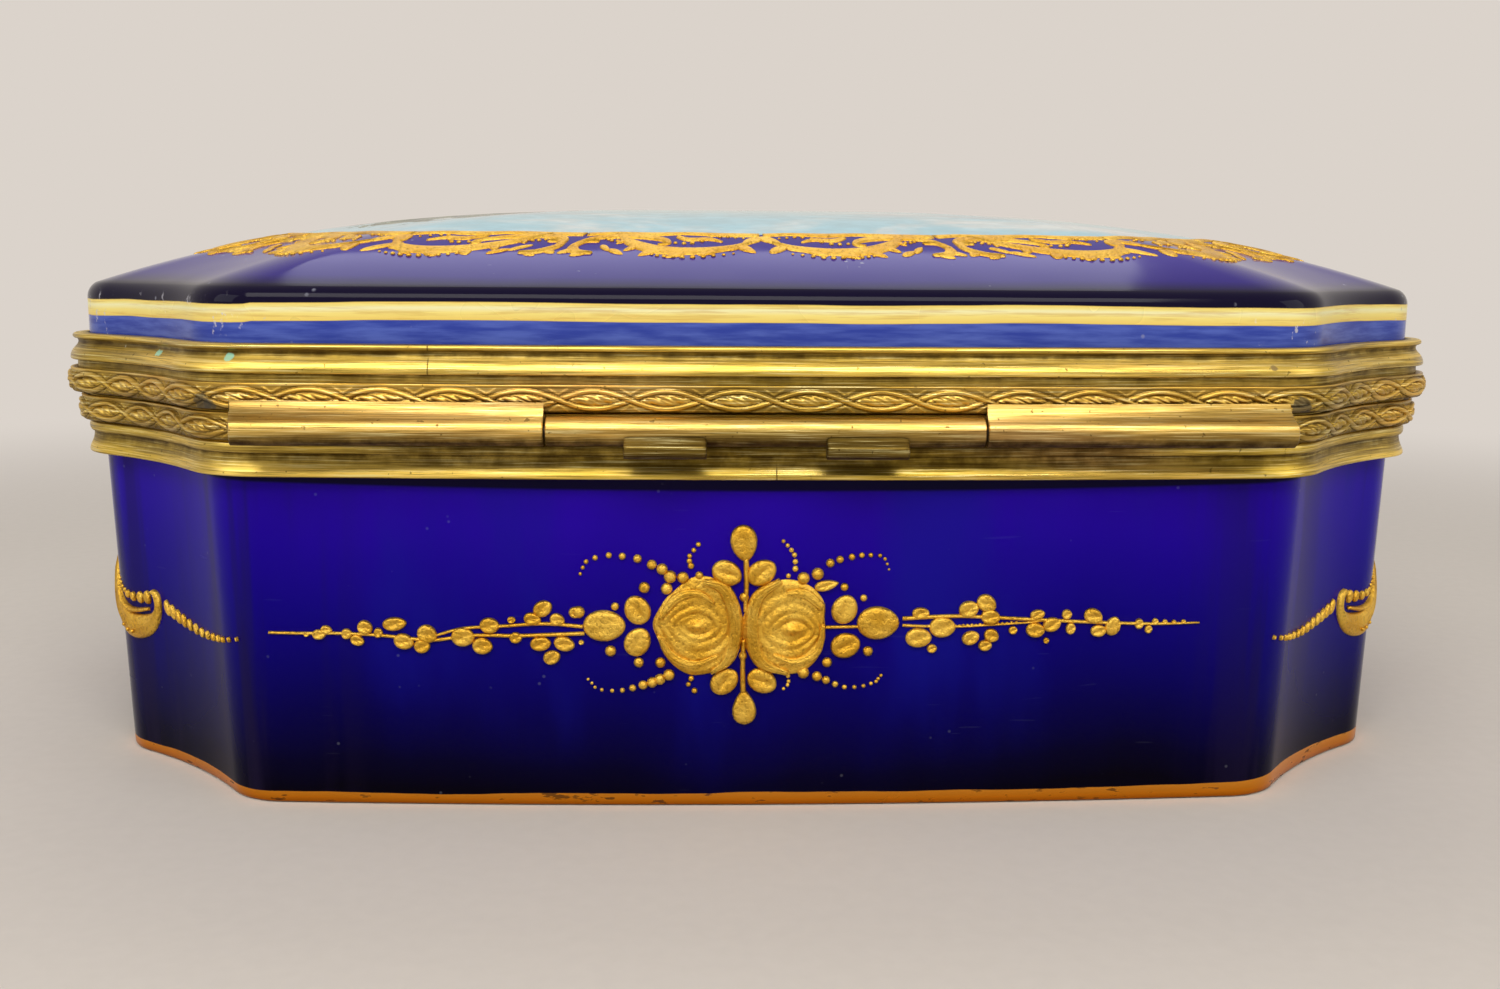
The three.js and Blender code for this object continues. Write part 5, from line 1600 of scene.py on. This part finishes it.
RIGHT_LEAVES = [
    (31.9, 2.6, 2.9, 2.1, 0), (31.6, -2.1, 4.4, 3.5, 0), (35.9, -0.1, 4.4, 3.7, 0), (34.1, -4.2, 1.7, 1.6, 0),
    (40.6, 3.3, 3.4, 3.0, 15), (43.8, 4.4, 3.5, 3.0, -35), (44.6, 1.8, 3.3, 2.7, -10), (41.1, -2.2, 3.0, 2.5, 20),
    (44.9, -1.8, 2.6, 2.4, -30), (43.8, -3.7, 2.3, 2.0, 0), (48.8, -0.8, 1.5, 1.5, 0), (53.2, 2.2, 2.5, 1.8, 10),
    (52.9, -0.8, 3.2, 2.7, -10), (55.9, 0.3, 3.1, 2.6, 15), (58.6, 2.3, 1.7, 1.8, 0), (59.4, -0.4, 1.7, 2.1, 0),
    (55.0, -2.8, 1.0, 1.1, 0), (63.5, 2.1, 3.3, 2.7, -25), (64.6, -0.7, 2.7, 2.2, 0), (67.2, 0.3, 3.3, 2.7, 70),
    (72.1, 0.9, 1.5, 1.9, 0), (73.9, -0.1, 1.3, 1.5, 0), (75.1, 1.4, 1.1, 1.2, 0), (76.9, 1.4, 0.9, 0.9, 0),
    (78.6, 1.4, 0.8, 0.8, 0), (80.4, 1.5, 0.8, 0.8, 0),
]
LEFT_STEMS = [
    [(28.9, -1.2, 0.8), (41, -1.7, 0.75), (49, -1.7, 0.7), (56.5, -2.6, 0.7), (60.5, -2.2, 0.7),
     (66, -1.4, 0.65), (73, -0.8, 0.6), (81, -0.6, 0.6), (86.6, -0.5, 0.55)],
    [(29.2, 0.1, 0.75), (36, 0.6, 0.7), (44, 0.1, 0.65), (51, -0.4, 0.6), (56, -1.7, 0.55)],
]
RIGHT_STEMS = [
    [(28.6, 1.6, 0.8), (37.4, 2.0, 0.75), (45, 1.7, 0.7), (53.3, 1.2, 0.7), (66.9, 0.9, 0.65),
     (76, 1.0, 0.55), (83.4, 1.3, 0.35)],
    [(28.6, 0.3, 0.6), (33, 0.1, 0.55), (38.8, 0.0, 0.5), (50.6, 0.6, 0.45), (54.2, 1.0, 0.45)],
]
LEAF_GROWTH = 1.14  # the leaves as painted are this much larger than their measured outlines
BRANCH_DROOP = 1.1  # mm by which a branch sinks towards its tip
BRANCH_SPREAD = {-1: 1.017, 1: 1.033}


def leafy_branch(paste, surface, side, stems, leaves):
    """Two stems and their leaves, from the bud out towards the corner. side is -1 or 1."""

    def out(a, b):
        return side * a * BRANCH_SPREAD[side], b - BRANCH_DROOP * float(smooth(50, 86, a))

    for stem in stems:
        paste.stroke(surface, [(*out(a, b), width) for a, b, width in stem], 0.6, 60)
    for a, b, length, width, turn in leaves:
        high = min(0.9, 0.35 + 0.2 * width)
        grown = length * LEAF_GROWTH, width * LEAF_GROWTH
        paste.mound(surface, *out(a, b), *grown, side * turn, 0.12, high, 0.32, 0.1)


def garland(paste, dots, surface):
    paste.rose(surface, -8.6, 0.4, ROSE_LEFT, 1.0, 1)
    paste.rose(surface, 9.2, -0.4, ROSE_RIGHT, 1.0, -1)
    for stroke in PETALS:
        paste.stroke(surface, *stroke)
    for leaf in LEAVES:
        paste.mound(surface, *leaf)
    for stroke in STALKS:
        paste.stroke(surface, *stroke)
    for count, path in STRINGS:
        dots.string(surface, path, count)
    for dot in LONE_DOTS:
        dots.dot(surface, *dot)
    leafy_branch(paste, surface, -1, LEFT_STEMS, LEFT_LEAVES)
    leafy_branch(paste, surface, 1, RIGHT_STEMS, RIGHT_LEAVES)


GARLAND_STARTS = {"back": 3.6 * MM, "front": GIRTH / 2}
GARLAND_Z = 34.8 * MM
bowl_dots = Dots()
for side, start in GARLAND_STARTS.items():
    paste = Paste()
    garland(paste, bowl_dots, lambda a, b, lift, s=start: on_bowl(s - a, GARLAND_Z + b, lift))
    paste.make("garland_" + side, "base")


# %% Lay the crescents round the corners
CRESCENT = [
    (156, 41.5, 0.3), (153, 36.6, 1.1), (149.4, 32.2, 2.6), (145, 28.6, 4.6), (140.4, 27, 5.4),
    (135.8, 27.6, 4.6), (132.4, 29.6, 2.8), (130.9, 32.2, 1.6), (131.2, 34.4, 1.3), (132.5, 35.2, 0.9),
]
CRESCENT_SPUR = [(147.6, 34.4, 0.35), (144.2, 31.6, 0.9), (139.6, 30.4, 1.1), (134.4, 31.2, 0.7)]
CRESCENT_STRING = [(154.4, 42.4, 0.24), (151.4, 38.6, 0.3), (147.6, 35.8, 0.4), (143.6, 34, 0.55)]
CRESCENT_TRAIL = [(127.6, 32.4, 1.8), (121.5, 30.8, 1.5), (114, 29.8, 1.1), (106, 30.2, 0.75), (98, 31.4, 0.5)]
CRESCENT_SHIFT = 1.5 * MM
SHORT_ROSE_Z = 35 * MM
SHORT_ROSE_SHARE = 0.84  # of the left rose of the garland


def crescent(paste, dots, surface):
    """A swelling crescent with engraved lines, a curled hook, and strings of dots above and behind it."""
    paste.stroke(surface, CRESCENT, 1.0, 54, 5)
    # A thin spur lies along the inside of the crescent, and three dots of gold in its belly
    paste.stroke(surface, CRESCENT_SPUR, 1.15, 24)
    for a, b in ((143.6, 26.8), (141.8, 26.0), (140, 25.8)):
        dots.dot(lambda p, q, lift: surface(p, q, lift + 0.9 * MM), a, b, 0.42)
    dots.string(surface, CRESCENT_STRING, 10)
    for a, b, size in ((141.4, 33.5, 1.5), (139.3, 33.2, 1.8), (137, 33.3, 2.2), (134.6, 33.6, 2.5)):
        paste.mound(surface, a, b, size * 1.15, size * 0.78, 80, 0.1, 0.8, 0.1)
    for a, b, size in smooth_path(CRESCENT_TRAIL, 13):
        paste.mound(surface, a, b, size * 1.9, size * 0.84, 68, 0.1, 0.75, 0.0)


def short_side_rose(paste, dots, surface):
    paste.rose(surface, 0, 0, [(turn, reach * SHORT_ROSE_SHARE) for turn, reach in ROSE_LEFT], 1.0, 1)
    for side in (-1, 1):
        for up in (1, -1):
            paste.mound(surface, side * 10.6, up * 2.6, 5.4, 4.4, up * side * 30, *SMALL_LEAF)
        dots.string(surface, flipped([(14.6, 0, 1.1), (18, -1, 0.8), (22, 0.6, 0.5), (25, 3, 0.3)], side), 7)
    for up in (1, -1):
        paste.mound(surface, 0, up * 10.6, 5.6, 4.4, up * -90, 0.5, 0.95)


paste = Paste()
for start, way in ((0, 1), (0, -1), (GIRTH / 2, 1), (GIRTH / 2, -1)):
    crescent(paste, bowl_dots, lambda a, b, lift, s=start, w=way: on_bowl(s + w * (a + CRESCENT_SHIFT), b, lift))
for start in (QUARTER, 3 * QUARTER):
    short_side_rose(paste, bowl_dots, lambda a, b, lift, s=start: on_bowl(s - a, SHORT_ROSE_Z + b, lift))
paste.make("corner_scrolls", "base")
bowl_dots.make("bowl_dots", "base")

# %% [markdown]
# ## The clasp
# The front isn't in the photograph. Such caskets shut with a shaped thumb-piece on the lid whose forked
# end snaps over a ball stud on the base. The plate is an outline with a bevelled edge, chased with a
# small fan, and the stud is turned, so it is drawn as rings round its own axis.

# %% Make the thumb-piece
CLASP_Y = -HALF_DEPTH + MIDDLE[1]
PLATE_BACK = CLASP_Y - 5.8 * MM
PLATE_THICK = 1.3 * MM
NECK_RADIUS = 1.4 * MM
SLOT_HALF = NECK_RADIUS + 0.5 * MM
PLATE_HALF = 7.5 * MM
PLATE_TOP = LID_Z + 5.6 * MM
PLATE_BOTTOM = HINGE_Z - 4.2 * MM


def plate_outline():
    """The right half of the outline from the slot to the top, then mirrored, as x and z."""
    tine, shoulder = SLOT_HALF + 3.2 * MM, HINGE_Z + 2.6 * MM
    corner, crest = 1.6 * MM, 2.6 * MM
    arch = [(SLOT_HALF * math.sin(a), HINGE_Z + SLOT_HALF * math.cos(a)) for a in np.linspace(0, math.pi / 2, 9)]
    runs = [
        ((SLOT_HALF, PLATE_BOTTOM), (tine, PLATE_BOTTOM), (tine, PLATE_BOTTOM + 2.6 * MM)),
        ((tine, PLATE_BOTTOM + 2.6 * MM), (tine, shoulder), (PLATE_HALF, shoulder)),
        ((PLATE_HALF, shoulder), (PLATE_HALF, PLATE_TOP - corner), (PLATE_HALF - corner, PLATE_TOP - corner)),
        ((PLATE_HALF - corner, PLATE_TOP - corner), (crest, PLATE_TOP - corner), (0, PLATE_TOP)),
    ]
    half = arch + [tuple(p) for run in runs for p in curve_between(*run, 9)[:-1]] + [(0, PLATE_TOP)]
    mirrored = [(-x, z) for x, z in reversed(half[1:-1])]
    return np.array(half + mirrored)


def thumb_plate():
    edge = plate_outline()
    work = bmesh.new()
    back = [work.verts.new((x, PLATE_BACK, z)) for x, z in edge]
    face = work.faces.new(back)
    grown = bmesh.ops.extrude_face_region(work, geom=[face])["geom"]
    front = [item for item in grown if isinstance(item, bmesh.types.BMVert)]
    bmesh.ops.translate(work, verts=front, vec=(0, -PLATE_THICK, 0))
    rim = [e for e in work.edges if all(v in set(front) for v in e.verts)]
    bmesh.ops.bevel(work, geom=rim, offset=0.32 * MM, segments=3, profile=0.6, affect="EDGES")
    bmesh.ops.triangulate(work, faces=[f for f in work.faces if len(f.verts) > 4])
    bmesh.ops.recalc_face_normals(work, faces=work.faces)
    mesh = bpy.data.meshes.new("thumbpiece")
    work.to_mesh(mesh)
    work.free()
    hollow = mesh.attributes.new("hollow", "FLOAT", "POINT")
    hollow.data.foreach_set("value", [0.35 * (v.co.y > PLATE_BACK - 0.9 * PLATE_THICK) for v in mesh.vertices])
    layer = mesh.uv_layers.new(name="round")
    for corner in mesh.loops:
        place = mesh.vertices[corner.vertex_index].co
        layer.data[corner.index].uv = (place.x, place.z)
    mesh.set_sharp_from_angle(angle=math.radians(40))
    return finish_mesh("thumbpiece", mesh, "lid", [GILT_BRASS])


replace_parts(thumb_plate(), "clasp_thumbpiece")


def on_plate(a, b, lift):
    """The front face of the plate, a to the right as seen from the front and b up."""
    return np.stack([a + 0 * b, PLATE_BACK - PLATE_THICK - lift + 0 * (a + b), b + 0 * a], -1)


chasing = Paste()
fan_foot = HINGE_Z / MM + 3.1
for i in range(9):
    turn = math.radians(-72 + 18 * i)
    reach = 2.9 + 0.7 * math.cos(turn)
    at, up = reach * 0.62 * math.sin(turn), fan_foot + reach * 0.62 * math.cos(turn)
    chasing.mound(on_plate, at, up, reach, 0.95, 90 - math.degrees(turn), 0.35, 0.42, 0.1)
chasing.mound(on_plate, 0, fan_foot, 2.0, 1.5, 0, 0.0, 0.6, 0.0)
for side in (-1, 1):
    lower = flipped([(6.2, 3.2, 0.4), (6.3, 0.6, 0.7), (4.3, -1.2, 0.6), (3.2, -4.6, 0.5)], side)
    chasing.stroke(on_plate, [(a, fan_foot + b, w) for a, b, w in lower], 0.32, 26)
lip = [(-4.5, 4.6, 0.9), (-2.4, 4.9, 1.6), (0, 5.0, 1.8), (2.4, 4.9, 1.6), (4.5, 4.6, 0.9)]
chasing.stroke(on_plate, [(a, fan_foot + b, w) for a, b, w in lip], 1.7, 26)
chasing.make("thumbpiece_chasing", "lid", GILT_BRASS)
print("thumb-piece is", round(2 * PLATE_HALF / MM, 1), "mm wide")


# %% Turn the ball stud
BALL_RADIUS = 2.3 * MM
BALL_Y = CLASP_Y - 9.24 * MM
ROSE_BACK = CLASP_Y - 4.1 * MM


def stud_rings():
    """Radius and place in y of each ring, from the back of the rose to the front of the ball."""
    turned = [
        (0.05, 0), (2.9, 0), (3.15, 0.12), (3.2, 0.35), (3.05, 0.6), (2.6, 0.8), (2.0, 0.9), (1.55, 1.0), (1.4, 1.25),
    ]
    rings = [(r * MM, ROSE_BACK - y * MM) for r, y in turned]
    start = math.asin(NECK_RADIUS / BALL_RADIUS)
    for angle in np.linspace(start, math.pi - 0.02, 22):
        rings.append((BALL_RADIUS * math.sin(angle), BALL_Y + BALL_RADIUS * math.cos(angle)))
    return rings


turns = np.linspace(0, 2 * np.pi, 48, endpoint=False)
stud_rows = []
for radius, y in stud_rings():
    petals = 1 + 0.05 * np.cos(8 * turns) * (radius > 2 * MM) * (y > ROSE_BACK - 0.7 * MM)
    reach = radius * petals / 1.05 if radius > 2 * MM and y > ROSE_BACK - 0.7 * MM else radius + 0 * turns
    stud_rows.append(np.stack([reach * np.cos(turns), np.full(48, y), HINGE_Z + reach * np.sin(turns)], -1))
stud_mesh = rows_mesh("ball_stud", stud_rows, values={"hollow": 0.15})
show("ball_stud", stud_mesh, "base", [GILT_BRASS], "clasp_stud")
print("ball stud reaches to y =", round((BALL_Y - BALL_RADIUS) / MM, 1), "mm")

# %% [markdown]
# ## The scroll border of the dome
# A border of gold scrolls frames the painted reserve. Its motif is a long leafy scroll with a curl over
# it, turned over from one to the next, and rows of dots run underneath. One motif is drawn about its own
# middle and laid round the whole dome, so it follows the curve of the porcelain.

# %% Lay the scroll border
BORDER_OUT = 11.5  # mm from the shoulder to the outer edge of the border
MOTIFS = 18
# Points of (along, towards the middle, width) in mm, for one motif 43 mm long and 14 mm deep
FRAME_LINE = [(-22, 12.4, 2.0), (-15, 13.2, 1.5), (-6, 12.7, 2.4), (3, 13.3, 1.5), (12, 12.6, 2.3), (22, 12.4, 2.0)]
LONG_LEAF = [
    (-20, 7.6, 0.8), (-15, 4.6, 2.2), (-7.5, 3.0, 3.3), (0.5, 3.6, 3.7), (7, 6.4, 3.2), (11.5, 9.8, 1.8), (14, 12, 0.9),
]
CURL = [
    (21, 6.2, 0.8), (19, 9.4, 1.7), (13.5, 11, 2.4), (6.4, 10.6, 2.3), (1, 8.8, 1.7), (-0.4, 6.8, 1.1), (1.8, 6.0, 0.8),
]
HOOK = [(14.6, 1.6, 0.7), (18.2, 2.2, 1.9), (20.6, 4.8, 2.2), (19.4, 7.6, 1.4), (16.4, 7.8, 0.8)]
SECOND_CURL = [(-13, 8.0, 0.5), (-9.4, 9.6, 1.5), (-4.6, 9.4, 1.9), (-1.4, 11, 1.2)]
BORDER_STRINGS = [
    (11, [(-16, 1.9, 0.3), (-9, 0.3, 0.55), (-2, 0.4, 0.5), (3, 1.6, 0.3)]),
    (10, [(-18, 10.4, 0.3), (-12, 11.2, 0.45), (-6, 7.2, 0.5), (0, 7.6, 0.35)]),
    (6, [(8.4, 8.4, 0.3), (13, 8.2, 0.45), (16, 9.4, 0.3)]),
]
# Drops between the scrolls, as (along, in, length, width, turn, point)
DROPS = [
    (9.8, 2.4, 4.6, 1.7, 28, 0.5),
    (-20.6, 9.2, 6.4, 3.2, -35, 0.35),
    (-18.6, 4.4, 6.2, 2.8, 40, 0.4),
    (13, 4.2, 4.4, 1.6, 40, 0.5),
]


def acanthus(paste, surface, path, lobes, reach, side):
    """A leafy scroll: a swelling stroke with pointed lobes along its outer edge."""
    paste.stroke(surface, path, 0.42, 44, 4)
    line = smooth_path(path, 60)
    for i in range(lobes):
        a, b, width = line[8 + i * 46 // lobes]
        size = reach * (0.55 + 0.45 * math.sin(math.pi * (i + 0.8) / lobes))
        turn = -24 - 5 * i if side > 0 else 204 + 5 * i
        paste.mound(surface, a + side * size * 0.25, b - width * 0.45, size * 1.5, size * 0.75, turn, 0.35, 0.36, 0.12)


def scroll_motif(paste, dots, surface, side):
    """One motif, turned over where side is -1."""
    paste.stroke(surface, FRAME_LINE, 0.34, 48)
    acanthus(paste, surface, flipped(LONG_LEAF, side), 6, 3.4, side)
    paste.stroke(surface, flipped(CURL, side), 0.4, 40, 3)
    acanthus(paste, surface, flipped(HOOK, side), 3, 2.6, side)
    paste.stroke(surface, flipped(SECOND_CURL, side), 0.36, 24, 2)
    for count, path in BORDER_STRINGS:
        dots.string(surface, flipped(path, side), count)
    for a, b, length, width, turn, point in DROPS:
        paste.mound(surface, side * a, b, length, width, side * turn, point, 0.36, 0.15)


paste, dome_dots = Paste(), Dots()
for i in range(MOTIFS):
    middle = GIRTH * (i + 0.5) / MOTIFS
    on_border = lambda a, b, lift, s=middle: on_dome(s - a, BORDER_OUT * MM + b, lift)
    scroll_motif(paste, dome_dots, on_border, 1 if i % 2 else -1)
paste.make("scroll_border", "lid")
dome_dots.make("border_dots", "lid")

# %% [markdown]
# ## Floor and light
# A plain pale floor runs out until it can't be told from the background. One broad soft lamp hangs over
# the box, which is what draws the bright lines along the brass, and two weaker ones fill from the sides.

# %% Lay the floor and hang the lamps
BACKGROUND = srgb(219, 211, 203)


def floor_finish():
    """Pale paper that turns into the background far from the box, as seen and in reflections."""
    finish = Finish("floor_paper", roughness=0.9, specular=0.1)
    grain = finish.cloud((300, 300, 300))
    finish.wire(Base_Color=finish.mix(grain, srgb(216, 208, 200), srgb(222, 214, 206)))
    far = finish.away((0, 0, 0)).step(0.28, 0.75)
    camera_ray, glossy_ray = [finish.field("LightPath", output=key) for key in ("Is Camera Ray", "Is Glossy Ray")]
    mixed = finish.add("MixShader", Fac=far * camera_ray.top(glossy_ray))
    glow = finish.add("Emission", Color=BACKGROUND, Strength=1.0)
    surface = finish.tree.nodes["Material Output"].inputs["Surface"]
    for start, end in ((finish.shader, mixed.inputs[1]), (glow, mixed.inputs[2]), (mixed, surface)):
        finish.tree.links.new(start.outputs[0], end)
    return finish.material


def lay_floor():
    turns = np.linspace(0, 2 * np.pi, 96, endpoint=False)
    rows = [
        np.stack([r * np.cos(turns), r * np.sin(turns), np.full(96, -0.0002)], -1) for r in (0.001, 0.3, 0.8, 2, 8)
    ]
    mesh = rows_mesh("floor", rows)
    work = bmesh.new()
    work.from_mesh(mesh)
    bmesh.ops.holes_fill(work, edges=[e for e in work.edges if e.is_boundary and e.verts[0].co.length < 0.01])
    work.to_mesh(mesh)
    work.free()
    floor = bpy.data.objects.new("floor", mesh)
    mesh.materials.append(floor_finish())
    bpy.context.scene.collection.objects.link(floor)


def lamp(name, place, size, power, colour=(1, 1, 1)):
    data = bpy.data.lights.new(name, "AREA")
    data.shape = "RECTANGLE"
    data.size, data.size_y = size
    data.energy = power
    data.color = colour
    made = bpy.data.objects.new(name, data)
    made.location = place
    aim = Vector((0, 0, 0.06)) - Vector(place)
    made.rotation_euler = aim.to_track_quat("-Z", "Y").to_euler()
    bpy.context.scene.collection.objects.link(made)


def set_world():
    world = bpy.data.worlds.new("studio")
    bpy.context.scene.world = world
    world.use_nodes = True
    nodes, links = world.node_tree.nodes, world.node_tree.links
    plain = nodes["Background"]
    plain.inputs[0].default_value = (1, 0.98, 0.95, 1)
    plain.inputs[1].default_value = 0.32
    pale = nodes.new("ShaderNodeBackground")
    pale.inputs[0].default_value = BACKGROUND
    rays = nodes.new("ShaderNodeLightPath").outputs
    seen = rays["Is Camera Ray"]
    for key in ("Is Glossy Ray", "Is Transmission Ray"):
        more = nodes.new("ShaderNodeMath")
        more.operation = "MAXIMUM"
        links.new(seen, more.inputs[0])
        links.new(rays[key], more.inputs[1])
        seen = more.outputs[0]
    mixed = nodes.new("ShaderNodeMixShader")
    links.new(seen, mixed.inputs[0])
    links.new(plain.outputs[0], mixed.inputs[1])
    links.new(pale.outputs[0], mixed.inputs[2])
    links.new(mixed.outputs[0], nodes["World Output"].inputs[0])


lay_floor()
lamp("lamp_over", (0.05, 0.74, 0.8), (1.1, 0.4), 7.0, (1, 0.97, 0.92))
lamp("lamp_left", (0.8, 0.5, 0.4), (0.4, 0.5), 1.0, (0.94, 0.97, 1))
lamp("lamp_right", (-0.8, 0.4, 0.35), (0.4, 0.5), 0.8, (1, 0.98, 0.95))
lamp("lamp_far", (0, -0.55, 0.9), (0.8, 0.4), 1.8, (1, 1, 1))
set_world()
bpy.context.scene.view_settings.view_transform = "Standard"
